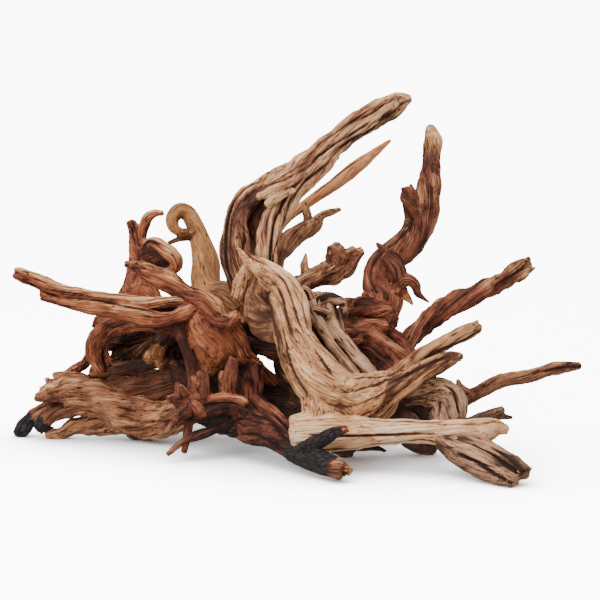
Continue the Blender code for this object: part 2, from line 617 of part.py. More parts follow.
def fill_hollows(wood):
    """Fills the hollows that limbs seal in between them, and stops if a limb stands apart."""
    shape = bmesh.new()
    shape.from_mesh(wood.data)
    for body in connected(shape.verts)[:-1]:
        faces = {face for vert in body for face in vert.link_faces}
        outward = sum(face.normal.dot(face.calc_center_median()) * face.calc_area() for face in faces)
        if outward > 0:
            place = sum((vert.co for vert in body), Vector()) / len(body)
            raise ValueError(f"a limb stands apart from the wood near {place}")
        bmesh.ops.delete(shape, geom=list(body), context="VERTS")
    bmesh.ops.triangulate(shape, faces=shape.faces)
    shape.to_mesh(wood.data)
    shape.free()


def thin_out(wood):
    """Merges the least bent faces until few enough are left."""
    thin = wood.modifiers.new("thin out", "DECIMATE")
    thin.ratio = MOST_FACES / len(wood.data.polygons)
    apply_modifiers(wood)


def wear_flat(wood):
    """Wears away what reaches below the ground, which leaves a small flat at each foot."""
    block = bmesh.new()
    bmesh.ops.create_cube(block, size=1, matrix=Matrix.Translation((0, 0, -0.5)))
    mesh = bpy.data.meshes.new("ground")
    block.to_mesh(mesh)
    block.free()
    ground = bpy.data.objects.new("ground", mesh)
    bpy.context.scene.collection.objects.link(ground)
    cut = wood.modifiers.new("wear flat", "BOOLEAN")
    cut.operation = "DIFFERENCE"
    cut.object = ground
    apply_modifiers(wood)
    bpy.data.objects.remove(ground)


def wood_material():
    """Bare weathered wood, matt and reddish brown."""
    material = bpy.data.materials.new("weathered wood")
    material.use_nodes = True
    shader = material.node_tree.nodes["Principled BSDF"]
    shader.inputs["Base Color"].default_value = WOOD_COLOUR
    shader.inputs["Roughness"].default_value = WOOD_ROUGHNESS
    return material


def main():
    for old in list(bpy.data.objects):
        bpy.data.objects.remove(old)
    front = pale_root() + grey_ribs() + spider_knot() + front_root() + left_logs() + red_crown()
    back = tall_branch() + curled_root() + olive_hook() + right_upright() + back_branches()
    wood = united(crown() + front + back)
    fill_hollows(wood)
    thin_out(wood)
    wear_flat(wood)
    wood.data.materials.clear()
    wood.data.materials.append(wood_material())


main()
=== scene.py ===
"""Dresses the driftwood: the same limbs as fine weathered wood, with grain, cracks, char and splinters.

The limbs' lines are drawn as on a full-size sheet that stands across the middle of the wood and
faces the eye. A point on it is (across, up, back, radius) in millimetres: across from the sheet's
middle, up from its foot, back behind the sheet along the sight line, and the limb's radius there.
"""

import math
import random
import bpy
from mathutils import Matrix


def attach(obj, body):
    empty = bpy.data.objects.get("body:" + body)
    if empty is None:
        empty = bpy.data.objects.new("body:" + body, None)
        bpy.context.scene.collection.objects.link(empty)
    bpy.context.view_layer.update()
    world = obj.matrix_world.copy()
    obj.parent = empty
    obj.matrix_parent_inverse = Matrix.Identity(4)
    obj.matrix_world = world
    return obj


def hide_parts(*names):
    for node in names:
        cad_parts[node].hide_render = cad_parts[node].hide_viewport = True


bl_info = {
    "name": "Driftwood root",
    "version": (1, 0, 0),
    "blender": (4, 5, 0),
    "location": "3D View > Sidebar > Driftwood",
    "description": "Dresses a driftwood root with weathered, cracked and charred wood",
    "category": "Object",
}

from typing import NamedTuple

import bpy
import numpy as np
from mathutils import Vector

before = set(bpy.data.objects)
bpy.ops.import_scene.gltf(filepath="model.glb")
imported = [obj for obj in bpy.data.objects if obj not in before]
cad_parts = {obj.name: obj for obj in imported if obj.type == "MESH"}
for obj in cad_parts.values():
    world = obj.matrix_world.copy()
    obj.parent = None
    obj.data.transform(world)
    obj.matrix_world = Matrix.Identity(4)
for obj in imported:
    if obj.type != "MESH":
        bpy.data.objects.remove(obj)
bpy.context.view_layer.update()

MM = 0.001

# The eye that the sheet faces, and where the footprint's middle and the ground lie from the sheet's foot.
EYE_TILT = math.radians(8)
EYE_DISTANCE = 2000
SIGHT_HEIGHT = 148
FOOTPRINT_MIDDLE = (-5.3, 7.8)
GROUND_HEIGHT = 2.0
FRAME_WIDTH = 600

# How finely a limb is drawn, in millimetres and in steps from one drawn point to the next.
RING_SPACING = 2.2
SIDE_LENGTH = 1.8
FEWEST_SIDES = 12
LINE_STEPS = 24

# The grain's ridges, its slow sway from side to side, and the teeth of a torn end, as shares of
# the radius. The sway repeats along the limb by SWAY_LENGTH millimetres a radian.
GROOVE_SHARPNESS = 2
RIDGE_LIFT = 0.3
SWAY = 0.05
SWAY_LENGTH = 21.0
TEETH = 8
TOOTH_LENGTH = 0.9

# How far the finished skin stands out, in millimetres, to make up for what smoothing takes off.
SWELL = 0.5

# A limb that runs this nearly straight at the eye takes the way up as its depth instead.
HEAD_ON = 0.95


def linear(part):
    """One part of a colour as seen, 0 to 255, as the linear value that Blender mixes: the sRGB curve."""
    part = part / 255
    return part / 12.92 if part <= 0.04045 else ((part + 0.055) / 1.055) ** 2.4


def colour(name, seen):
    """A colour that a user can change."""
    return bpy.props.FloatVectorProperty(
        name=name,
        description=f"Colour of the {name.lower()}",
        subtype="COLOR",
        min=0,
        max=1,
        default=tuple(linear(part) for part in seen),
    )


def length(name, description, millimetres):
    """A length that a user can change."""
    default = millimetres * MM
    return bpy.props.FloatProperty(name=name, description=description, unit="LENGTH", default=default)


class DriftwoodSizes(bpy.types.PropertyGroup):
    """Sizes of the wood's surface and splinters."""

    mesh_step: length("Mesh step", "Spacing of the finished surface's points", 1.3)
    fibre_width: length("Fibre width", "Width of one raised fibre", 1.7)
    fibre_length: length("Fibre length", "How far a fibre runs before it fades", 20)
    strand_width: length("Strand width", "Width of a bundle of fibres", 4.6)
    strand_length: length("Strand length", "How far a bundle runs before it fades", 75)
    crack_depth: length("Crack depth", "Depth of the cracks between bundles", 1.9)
    strand_height: length("Strand height", "How far the bundles stand out", 1.7)
    fold_width: length("Fold width", "Width of a soft fold", 9)
    fold_length: length("Fold length", "How far a fold runs", 38)
    fold_height: length("Fold height", "How far the folds stand out", 5)
    lump_size: length("Lump size", "Spacing of the knots and hollows", 15)
    lump_height: length("Lump height", "How far knots and hollows stand out", 3.6)
    notch_size: length("Notch size", "Spacing of the small dents and humps", 6)
    notch_height: length("Notch height", "How far the dents and humps stand out", 1.6)
    splinter_length: length("Splinter length", "Length of the longest splinter at a torn end", 7)
    splinter_width: length("Splinter width", "Width of a splinter at its root", 1.5)


class DriftwoodColours(bpy.types.PropertyGroup):
    """Three colours of each wood: its grooves, its body and its crests."""

    bleached_groove: colour("Bleached wood's grooves", (98, 58, 38))
    bleached_body: colour("Bleached wood", (206, 147, 99))
    bleached_crest: colour("Bleached wood's crests", (240, 206, 166))
    grey_groove: colour("Grey wood's grooves", (74, 46, 34))
    grey_body: colour("Grey wood", (176, 130, 98))
    grey_crest: colour("Grey wood's crests", (222, 184, 150))
    streaked_groove: colour("Streaked wood's grooves", (60, 32, 22))
    streaked_body: colour("Streaked wood", (140, 88, 60))
    streaked_crest: colour("Streaked wood's crests", (228, 178, 130))
    red_groove: colour("Red wood's grooves", (66, 28, 18))
    red_body: colour("Red wood", (150, 82, 52))
    red_crest: colour("Red wood's crests", (214, 146, 98))
    mahogany_groove: colour("Mahogany wood's grooves", (50, 21, 15))
    mahogany_body: colour("Mahogany wood", (118, 62, 42))
    mahogany_crest: colour("Mahogany wood's crests", (188, 116, 80))
    tan_groove: colour("Tan wood's grooves", (74, 40, 26))
    tan_body: colour("Tan wood", (156, 100, 68))
    tan_crest: colour("Tan wood's crests", (214, 160, 114))
    olive_groove: colour("Olive wood's grooves", (116, 72, 41))
    olive_body: colour("Olive wood", (176, 118, 70))
    olive_crest: colour("Olive wood's crests", (206, 152, 98))
    orange_groove: colour("Orange wood's grooves", (110, 56, 32))
    orange_body: colour("Orange wood", (186, 118, 74))
    orange_crest: colour("Orange wood's crests", (216, 156, 106))
    # Shaded wood is painted shade: a dark wood for the roots that lie in shadow inside the tangle.
    shaded_groove: colour("Shaded wood's grooves", (18, 10, 7))
    shaded_body: colour("Shaded wood", (68, 37, 24))
    shaded_crest: colour("Shaded wood's crests", (122, 74, 48))
    bare_groove: colour("Freshly bared wood's grooves", (110, 62, 36))
    bare_body: colour("Freshly bared wood", (204, 146, 96))
    bare_crest: colour("Freshly bared wood's crests", (238, 194, 146))
    # Char's colour also paints the shade on the undersides of some limbs.
    char: colour("Char", (40, 34, 33))
    floor: colour("Floor", (252, 252, 252))


class Limb(NamedTuple):
    """One root or branch: its line, its grooves, and how its two ends are finished.

    ribs grooves wind once per turn millimetres, each groove deep as a share of the radius.
    thick is the limb's thickness along the sight line as a share of its seen width.
    """

    name: str
    line: list
    ribs: int = 3
    groove: float = 0.16
    turn: float = 420.0
    thick: float = 0.9
    torn_start: bool = False
    torn_end: bool = False


def pale_root():
    """The bleached root in front: a spike that swells to a forked hip, and the log across its foot."""
    return [
        Limb("spike", [
            (-63, 200, -20, 1.5), (-48, 186, -30, 7), (-30, 172, -42, 12), (-15, 156, -55, 16),
            (-8, 133, -68, 17), (-3, 108, -80, 19), (8, 83, -90, 22), (22, 62, -96, 25),
            (40, 48, -98, 24)
        ], ribs=3, groove=0.2, turn=500),
        # bright_ridge and dull_side also carry, by their tones, a painted highlight and painted shade.
        Limb("bright_ridge", [
            (-40, 188, -30, 4), (-17, 173, -54, 6), (-1, 150, -66, 7), (3, 125, -78, 7),
            (6, 102, -91, 7.5), (24, 78, -100, 8), (46, 64, -108, 8)
        ]),
        Limb("dull_side", [(-27, 152, -54, 6), (-18, 118, -78, 7), (-11, 90, -92, 7.5), (0, 66, -98, 8)]),
        Limb("hip", [
            (14, 55, -95, 20), (42, 50, -97, 24), (68, 54, -92, 19), (90, 64, -84, 13)
        ], groove=0.12),
        Limb("heel", [(22, 56, -98, 22), (20, 38, -106, 17), (18, 20, -112, 15)], groove=0.1),
        Limb("upper_prong", [
            (70, 56, -88, 12), (92, 71, -82, 9), (118, 90, -70, 7.5), (145, 106, -58, 7),
            (164, 115, -48, 7.5), (178, 121, -41, 6.5)
        ], ribs=2, groove=0.22, torn_end=True),
        Limb("lower_prong", [
            (70, 46, -92, 14), (95, 60, -90, 12.5), (120, 76, -84, 10), (145, 87, -76, 8),
            (160, 92, -70, 3.5)
        ], ribs=3, groove=0.2, torn_end=True),
        Limb("fork_brace", [(88, 62, -86, 11), (88, 43, -86, 9), (74, 32, -92, 9)]),
        Limb("log", [
            (-9, 18, -112, 13), (0, 18, -113, 16.5), (40, 15, -118, 16), (80, 16, -118, 12.5),
            (120, 17, -118, 11), (150, 15, -120, 13), (178, 16, -124, 13), (196, 20, -126, 9),
            (206, 18, -127, 4)
        ], ribs=2, groove=0.2, turn=900, torn_end=True),
        Limb("upper_leg", [
            (155, 14, -124, 10), (185, -2, -140, 9.5), (207, -14, -158, 8.5), (224, -25, -172, 7.5)
        ], ribs=2, groove=0.2, torn_end=True),
        Limb("lower_leg", [
            (140, 8, -124, 8), (158, -4, -136, 9.5), (176, -14, -150, 10.5), (196, -25, -164, 9.5),
            (213, -33.5, -178, 6.5)
        ], ribs=2, groove=0.2, torn_end=True),
        Limb("block", [
            (98, 56, -70, 13), (125, 55, -66, 14.5), (146, 46, -68, 19), (149, 22, -84, 20)
        ], ribs=2, groove=0.12, thick=0.7),
        Limb("block_wall", [(108, 50, -60, 13), (122, 38, -56, 14), (132, 24, -66, 13)]),
        Limb("under_brace", [(82, 50, -72, 11), (98, 38, -72, 8), (114, 24, -86, 7)]),
        # under_shade is a dark limb of painted shade beneath the hip.
        Limb("under_shade", [(58, 34, -66, 9), (82, 36, -58, 10), (108, 34, -54, 10)]),
        Limb("right_splinter", [
            (155, 20, -108, 7), (176, 28, -102, 5.5), (195, 35, -100, 5), (203, 39, -100, 2.5)
        ], groove=0.3, torn_end=True),
        Limb("right_barb", [(188, 32, -101, 4.5), (200, 32, -101, 3.5), (213, 30, -102, 1.5)]),
        Limb("belly", [
            (-38, 165, -30, 7), (-42, 146, -38, 12), (-36, 126, -48, 15.5), (-15, 114, -60, 13)
        ], ribs=4, groove=0.14, turn=160),
        Limb("slab", [
            (-52, 184, -24, 4), (-56, 168, -20, 8), (-62, 152, -18, 6)
        ], groove=0.25, thick=0.6, torn_end=True),
        Limb("strand", [(-42, 172, -26, 4), (-49, 151, -30, 5), (-44, 134, -34, 5)]),
    ]


def grey_ribs():
    """The weathered ribs that run from a gnarled head down behind the bleached root."""
    return [
        Limb("left_rib", [(10, 146, -38, 6), (18, 126, -45, 6), (35, 98, -57, 5.5), (58, 66, -76, 7)]),
        Limb("right_rib", [(26, 143, -30, 6), (31, 120, -38, 7), (50, 98, -48, 6.5), (78, 68, -70, 7)]),
        Limb("back_rib", [(34, 136, -14, 8), (38, 110, -22, 9), (58, 86, -36, 9), (76, 62, -56, 11)]),
        Limb("gnarl", [
            (0, 134, -32, 10), (17, 145, -28, 9.5), (34, 144, -20, 7)
        ], ribs=5, groove=0.3, turn=60, torn_end=True),
        Limb("gnarl_knob", [(30, 148, -20, 5.5), (43, 144, -16, 3.5)], torn_end=True),
        Limb("gnarl_back", [(8, 142, -16, 9), (24, 138, -12, 9), (38, 136, -10, 7)], ribs=5, groove=0.3),
        Limb("gnarl_curl", [
            (20, 151, -33, 4.5), (33, 150, -34, 4.5), (43, 145, -30, 4), (44, 137, -28, 2.8)
        ], groove=0.3, turn=60, torn_end=True),
        Limb("gnarl_fold", [
            (4, 141, -40, 5.5), (17, 137, -44, 5.5), (31, 131, -42, 5)
        ], ribs=4, groove=0.3),
        Limb("gnarl_spur", [(12, 148, -36, 4), (8, 157, -38, 3), (3, 161, -38, 1.8)], torn_end=True),
        Limb("gnarl_crest", [(4, 150, -28, 5), (20, 154, -30, 3.5)], torn_end=True),
    ]


def tall_branch():
    """The tallest limb: four strands that rise apart from the crown and join into one long arm."""
    return [
        Limb("outer_strand", [
            (-52, 126, 12, 12), (-64, 158, 12, 8), (-71, 186, 16, 7.5), (-71, 213, 20, 8),
            (-66, 236, 24, 8.5), (-54, 253, 28, 8.5), (-34, 263, 30, 9.5), (-15, 272, 32, 11)
        ], ribs=4, groove=0.22),
        Limb("middle_strand", [
            (-50, 132, 15, 10), (-58, 178, 15, 10), (-60, 208, 16, 9.5), (-58, 233, 18, 7.5),
            (-39, 253, 21, 6.5), (-16, 267, 28, 9)
        ], ribs=2, groove=0.2),
        Limb("inner_strand", [
            (-40, 134, 28, 11), (-44, 166, 32, 12), (-45, 213, 35, 11.5), (-37, 236, 36, 10),
            (-16, 260, 35, 9)
        ], ribs=3, groove=0.2),
        Limb("pale_strand", [
            (-30, 130, 4, 15), (-33, 168, 5, 11.5), (-32, 198, 8, 11), (-29, 221, 12, 11),
            (-18, 243, 18, 10.5), (-4, 262, 25, 11), (14, 279, 30, 11.5), (34, 297, 34, 10)
        ], ribs=4, groove=0.2),
        Limb("arm", [
            (-27, 263, 29, 10), (0, 277, 32, 13), (20, 293.5, 34, 13.5), (45, 312.5, 36, 12.5),
            (68, 328, 38, 13), (86, 339, 40, 14), (101, 347.5, 42, 9), (109, 349, 43, 4.5)
        ], ribs=4, groove=0.18, turn=700, torn_end=True),
        Limb("high_flake", [
            (-38, 252, 14, 5), (-26, 259, 8, 5), (-10, 266, 12, 3)
        ], thick=0.6, torn_end=True),
        Limb("low_flake", [
            (-34, 243, 12, 4), (-22, 251, 4, 4.5), (-6, 258, 8, 3)
        ], thick=0.6, torn_end=True),
        Limb("arm_knob", [(-36, 262, 30, 7), (-31, 270, 28, 5)], torn_end=True),
    ]


def red_crown():
    """The red left of the crown: a long split branch, a hook-nosed ridge and the round belly below."""
    return [
        Limb("upper_rail", [
            (-282, 175, -60, 5.5), (-260, 165, -59, 7.5), (-238, 156, -58, 7), (-200, 149, -56, 6),
            (-160, 144, -53, 5.5), (-125, 146.5, -50, 5), (-104, 141, -44, 8)
        ], ribs=2, groove=0.14, torn_start=True),
        Limb("lower_rail", [
            (-258, 152, -57, 4), (-230, 146, -58, 6), (-195, 139, -58, 7), (-165, 133, -57, 7.5),
            (-140, 128.5, -54, 7), (-117, 134, -50, 6.5), (-100, 142, -44, 9)
        ], ribs=2, groove=0.14, torn_start=True),
        Limb("web", [
            (-240, 156, -46, 3), (-194, 144, -38, 5), (-150, 138, -34, 6), (-122, 138, -32, 6),
            (-100, 138, -34, 8)
        ], ribs=3, groove=0.2, thick=0.7),
        Limb("ridge", [
            (-174, 184, -35, 3.5), (-155, 178, -38, 8.5), (-135, 168, -42, 10), (-115, 156, -46, 10),
            (-95, 147, -52, 10.5), (-85, 134, -58, 10), (-75, 127, -62, 8.5), (-64, 132, -66, 5.5)
        ], ribs=4, groove=0.16, torn_start=True, torn_end=True),
        Limb("belly_trunk", [
            (-100, 146, -38, 12), (-94, 124, -37, 21), (-87, 103, -36, 24), (-90, 86, -36, 16),
            (-93, 74, -38, 7)
        ], ribs=4, groove=0.12, turn=300),
        Limb("flank", [
            (-74, 128, -44, 10), (-62, 108, -38, 9), (-57, 93, -34, 9.5), (-45, 85, -26, 7),
            (-33, 73, -12, 6.5), (-18, 59, 0, 7), (-4, 48, 4, 8)
        ], groove=0.14),
        Limb("left_leg", [
            (-124, 128, -40, 7), (-117, 106, -46, 6), (-111, 86, -52, 5.5), (-107, 63, -58, 6),
            (-107, 46, -62, 8)
        ]),
        Limb("arch", [
            (-198, 78, 12, 10), (-204, 96, 8, 11), (-200, 110, 2, 11), (-184, 121, -8, 8.5),
            (-160, 123.5, -18, 5.5), (-135, 120, -30, 7), (-112, 114, -36, 10)
        ], groove=0.18),
        Limb("arch_spur", [(-184, 124, 2, 7), (-199, 129, 10, 5.5), (-206, 121, 14, 2.5)], torn_end=True),
        Limb("arch_foot", [(-202, 100, 12, 8), (-216, 84, 22, 5.5), (-235, 74, 32, 2.5)], torn_end=True),
    ]


def spider_knot():
    """The knot low in front, with its stubs and twigs."""
    return [
        Limb("knot", [
            (-118, 34, -60, 8), (-107, 46, -66, 12), (-98, 60, -68, 8.5), (-97, 73, -70, 6)
        ], ribs=4, groove=0.25, torn_end=True),
        Limb("rim", [(-94, 49, -72, 3), (-80, 51, -73, 3), (-64, 50, -72, 3), (-54, 45, -70, 3)]),
        Limb("bump", [(-108, 44, -74, 5), (-103, 41, -78, 5.5), (-99, 36, -76, 4)]),
        Limb("fin", [(-96, 50, -74, 4.5), (-94, 63, -77, 4), (-96, 75, -77, 3)]),
        Limb("left_knob", [(-112, 53, -74, 4), (-118, 60, -76, 4.5), (-123, 62, -77, 3.5)]),
        Limb("left_barb", [(-106, 48, -66, 9), (-119, 56, -68, 6), (-123, 64, -70, 3.5)], torn_end=True),
        Limb("middle_barb", [(-106, 50, -71, 7), (-105, 63, -75, 5), (-107, 71, -76, 2.5)], torn_end=True),
        Limb("low_petal", [(-110, 42, -70, 8), (-119, 33, -76, 5.5), (-125, 26, -78, 3)], torn_end=True),
        Limb("low_barb", [(-108, 42, -64, 10), (-124, 48, -66, 6.5), (-133, 50, -68, 2.5)], torn_end=True),
        Limb("crescent", [
            (-106, 38, -66, 10), (-85, 42, -64, 10), (-65, 42, -62, 10), (-51, 30, -60, 10),
            (-44, 16, -64, 13)
        ], groove=0.2),
        Limb("low_crescent", [(-100, 34, -62, 8), (-80, 28, -58, 9), (-58, 24, -58, 12)], groove=0.2),
        Limb("stub", [
            (-66, 38, -62, 10), (-72, 58, -66, 7), (-69, 76, -69, 6.5), (-66, 89, -72, 5)
        ], torn_end=True),
        Limb("stub_thorn", [(-70, 54, -66, 7), (-78, 67, -66, 4.5), (-78, 76, -66, 2.5)], torn_end=True),
        Limb("prop", [
            (-48, 84, -18, 9.5), (-45, 60, -36, 10), (-47, 36, -52, 9.5), (-44, 18, -62, 11)
        ], groove=0.2),
        Limb("long_twig", [
            (-55, 33, -58, 7), (-72, 24, -64, 5.5), (-95, 15, -72, 4.6), (-115, 7, -76, 3.6),
            (-133, -7, -78, 2.4)
        ]),
        Limb("short_twig", [(-112, 34, -62, 5.5), (-113, 13, -60, 4), (-116, -4, -58, 2.8)]),
    ]


def front_root():
    """The root that comes forward at the foot and ends in a charred fork."""
    return [
        Limb("front_root", [
            (-64, 34, -48, 14), (-46, 22, -60, 17), (-25, 11, -85, 14), (-7, -3, -112, 10),
            (14, -14, -136, 8), (28, -19, -148, 8), (40, -22, -158, 9.5)
        ], groove=0.16, torn_end=True),
        Limb("red_fin", [(-46, 50, -54, 9), (-30, 33, -70, 9), (-8, 10, -102, 7)], groove=0.2, thick=0.6),
        Limb("charred_arm", [
            (-6, -6, -114, 8), (14, 5, -138, 7), (33, 15, -150, 5.8), (46, 19, -153, 3.6)
        ], torn_end=True),
        Limb("bright_splinter", [
            (14, -8, -138, 7), (35, -15, -152, 5.5), (49, -23, -160, 4.2)
        ], torn_end=True),
    ]


def left_logs():
    """The low logs and roots on the left, two of them with charred tips, and the hollow behind them."""
    return [
        Limb("big_log", [
            (-258, 54, 22, 6), (-240, 57, 20, 12), (-215, 53, 18, 15), (-188, 44, 18, 17),
            (-160, 32, 16, 20), (-135, 30, 4, 19), (-112, 38, -12, 16), (-88, 48, -24, 17)
        ], ribs=4, groove=0.15, turn=380, torn_start=True),
        Limb("log_top_tooth", [(-214, 64, 22, 7), (-236, 71, 24, 4), (-246, 73, 24, 1.8)], torn_end=True),
        Limb("log_mid_tooth", [(-230, 62, 20, 8), (-248, 66, 20, 4), (-255, 69, 20, 1.6)], torn_end=True),
        Limb("log_low_tooth", [(-236, 53, 14, 8), (-256, 50, 14, 4.5), (-265, 49, 14, 1.8)], torn_end=True),
        Limb("log_foot", [
            (-180, 26, 22, 12), (-157, 18, 28, 12.4), (-140, 24, 20, 12)
        ], ribs=4, groove=0.2),
        Limb("low_log", [
            (-251, 15.5, 36, 4.5), (-242, 15, 36, 7.6), (-220, 20, 32, 9), (-190, 21, 28, 11),
            (-160, 24, 20, 14)
        ], ribs=3, groove=0.14, torn_start=True),
        Limb("outer_tip", [
            (-284, 14, 46, 5), (-276, 22, 44, 7.5), (-265, 32, 40, 8), (-240, 43, 32, 9),
            (-208, 50, 24, 11)
        ], groove=0.14),
        Limb("inner_tip", [
            (-262, 19, 34, 5), (-254, 27, 30, 8), (-238, 36, 26, 8.5), (-210, 44, 20, 10)
        ], groove=0.14),
        Limb("hollow_lip", [
            (-208, 76, 22, 5), (-185, 78, 13, 5.5), (-160, 80, 4, 6), (-140, 86, -6, 8),
            (-122, 77, -12, 11), (-112, 56, -18, 13)
        ], groove=0.2),
        Limb("hollow_back", [
            (-205, 62, 36, 12), (-165, 60, 34, 17), (-130, 58, 20, 19), (-100, 60, 0, 19)
        ]),
        Limb("shade_root", [
            (-222, 60, 30, 8), (-195, 78, 38, 7), (-170, 90, 42, 8), (-150, 103, 45, 8.5),
            (-130, 118, 45, 10)
        ]),
        Limb("shade_prop", [(-190, 72, 42, 6), (-182, 98, 46, 5.5), (-176, 118, 40, 6)]),
        Limb("sawn_stub", [
            (-115, 113, 10, 12), (-132, 101, -10, 9), (-143, 90, -26, 8)
        ], groove=0.08, torn_end=True),
        # shade_wall is a dark wall of painted shade that fills the gaps behind the arch.
        Limb("shade_wall", [(-194, 110, 42, 9), (-178, 112, 48, 13), (-150, 114, 52, 16)]),
        Limb("shade_lobe", [
            (-140, 116, 50, 14), (-162, 106, 52, 13), (-174, 92, 48, 9)
        ], ribs=4, groove=0.25),
    ]


def curled_root():
    """The flared root at the back left, with its horn, its curl and its rolled ear."""
    return [
        Limb("flared_trunk", [
            (-150, 112, 58, 27), (-160, 146, 74, 22.5), (-160, 165, 82, 16), (-157, 186, 88, 12.5),
            (-161, 203, 90, 11), (-165, 216, 90, 8.5), (-169, 225, 90, 6)
        ], ribs=4, groove=0.16, turn=500, torn_end=True),
        Limb("top_curl", [
            (-159, 200, 88, 7), (-158, 218, 86, 6), (-153, 230, 84, 5), (-145, 235, 82, 3.6),
            (-137, 235, 80, 2)
        ], groove=0.2, torn_end=True),
        Limb("ear_rim", [
            (-156, 196, 86, 8), (-148, 206, 80, 6.5), (-135, 199, 76, 7), (-125, 189, 74, 7.5),
            (-127, 180, 76, 5.5), (-142, 176, 82, 7)
        ], groove=0.12),
        Limb("ear_web", [(-160, 190, 86, 12), (-146, 191, 82, 15), (-130, 189, 77, 10)], thick=0.6),
    ]


def olive_hook():
    """The smooth olive root at the back that ends in a curled hook."""
    return [
        Limb("hook", [
            (-72, 118, 40, 17), (-86, 145, 62, 16), (-94, 165, 78, 15.5), (-95, 186, 88, 14),
            (-100, 206, 92, 11), (-106, 224, 92, 9), (-112.5, 235, 90, 8.2), (-121, 237.5, 86, 8),
            (-127.5, 230, 82, 7.2), (-126.5, 221, 80, 6), (-120, 216, 80, 4.5), (-113, 217, 84, 3.5)
        ], ribs=2, groove=0.06, turn=900),
        Limb("hook_twig", [(-110, 212, 88, 4.5), (-121, 209, 82, 3), (-131, 205, 80, 2)], torn_end=True),
        Limb("hook_foot", [(-84, 152, 34, 9), (-73, 147, 17, 9), (-63, 136, 8, 8)]),
        Limb("hook_lobe", [(-90, 156, 66, 10), (-73, 158, 58, 9), (-66, 146, 50, 10), (-62, 126, 36, 13)]),
    ]


def right_upright():
    """The red limb that stands on the right, with its burls, and the roots that leave its base."""
    return [
        Limb("upright", [
            (70, 124, 40, 20), (82, 145, 48, 18.5), (76, 165, 54, 14.5), (80, 181, 58, 15),
            (95, 192, 62, 16), (111, 208, 66, 15.5), (121, 228, 68, 15), (127, 248, 70, 14),
            (130, 270, 72, 11.5), (132, 290, 74, 8.8), (133, 306, 76, 9.8), (131, 317, 77, 6.5),
            (130, 323, 77, 2.5)
        ], ribs=3, groove=0.12, turn=360),
        Limb("swirl", [
            (86, 191, 52, 9), (95, 182, 46, 9), (98, 172, 44, 9), (95, 161, 46, 9),
            (87, 152, 48, 9)
        ], ribs=2),
        Limb("crust", [
            (116, 220, 66, 14.5), (125, 240, 69, 13.8), (129, 256, 71, 13), (130, 264, 72, 12.6)
        ], ribs=5, groove=0.14, torn_end=True),
        Limb("side_knob", [
            (112, 230, 64, 9), (110.5, 248, 62, 9), (107, 260, 60, 5.5)
        ], ribs=4, groove=0.3, turn=90, torn_end=True),
        Limb("thorn", [(93, 191, 56, 8), (84, 198, 54, 5.2), (76, 205, 52, 2)]),
        Limb("claw", [
            (94, 160, 44, 9), (106, 168, 42, 7), (115, 163, 40, 6.5), (117, 155, 38, 5),
            (123, 150, 36, 2.8), (130, 145, 34, 1.4)
        ]),
        Limb("claw_twig", [(100, 158, 44, 7), (108, 150, 44, 4), (113, 143, 44, 1.6)]),
        Limb("burl", [
            (52, 128, 36, 15), (66, 131, 34, 17), (82, 130, 34, 17), (95, 130, 36, 9)
        ], ribs=5, groove=0.16, turn=120, torn_end=True),
        Limb("burl_lobe", [(66, 134, 36, 14), (50, 132, 36, 12.5), (42, 122, 34, 9), (45, 108, 30, 9)]),
        Limb("burl_fold", [(40, 127, 24, 9), (52, 121, 18, 9), (68, 118, 14, 9), (84, 120, 18, 8)], ribs=5),
        Limb("burl_roll", [
            (44, 138, 26, 8), (58, 142, 20, 9), (74, 139, 18, 9), (90, 133, 22, 8)
        ], ribs=5, groove=0.25, turn=80),
        Limb("burl_curl", [
            (50, 141, 14, 6), (42, 135, 8, 8), (42, 124, 3, 9), (50, 115, 0, 8), (62, 110, -2, 7)
        ], ribs=5, groove=0.25, turn=90),
        Limb("left_nub", [(66, 145, 34, 6), (64, 155, 28, 3)], torn_end=True),
        Limb("right_nub", [(80, 145, 30, 5), (80, 153, 28, 2.4)], torn_end=True),
        Limb("tongue", [
            (44, 118, 20, 8), (62, 117, 12, 7), (80, 108, 6, 8), (98, 93, -5, 8.5), (112, 76, -20, 9),
            (112, 60, -46, 10)
        ], groove=0.2),
        Limb("low_tongue", [
            (45, 108, 20, 10), (66, 96, 10, 11), (85, 80, 0, 12), (98, 62, -30, 13)
        ], groove=0.2),
        Limb("base_root", [
            (68, 124, 34, 15), (88, 113, 28, 10), (102, 102, 24, 11), (110, 84, 10, 12),
            (118, 66, -20, 12)
        ]),
        Limb("reaching_branch", [
            (98, 80, 8, 12), (107, 102, 20, 11.5), (120, 120, 28, 10.5), (138, 135, 36, 10),
            (160, 147, 44, 10), (185, 159, 52, 10.4), (206, 170, 60, 11.6), (222, 178, 66, 11),
            (229, 182, 68, 8.5)
        ], ribs=5, groove=0.16, torn_end=True),
    ]


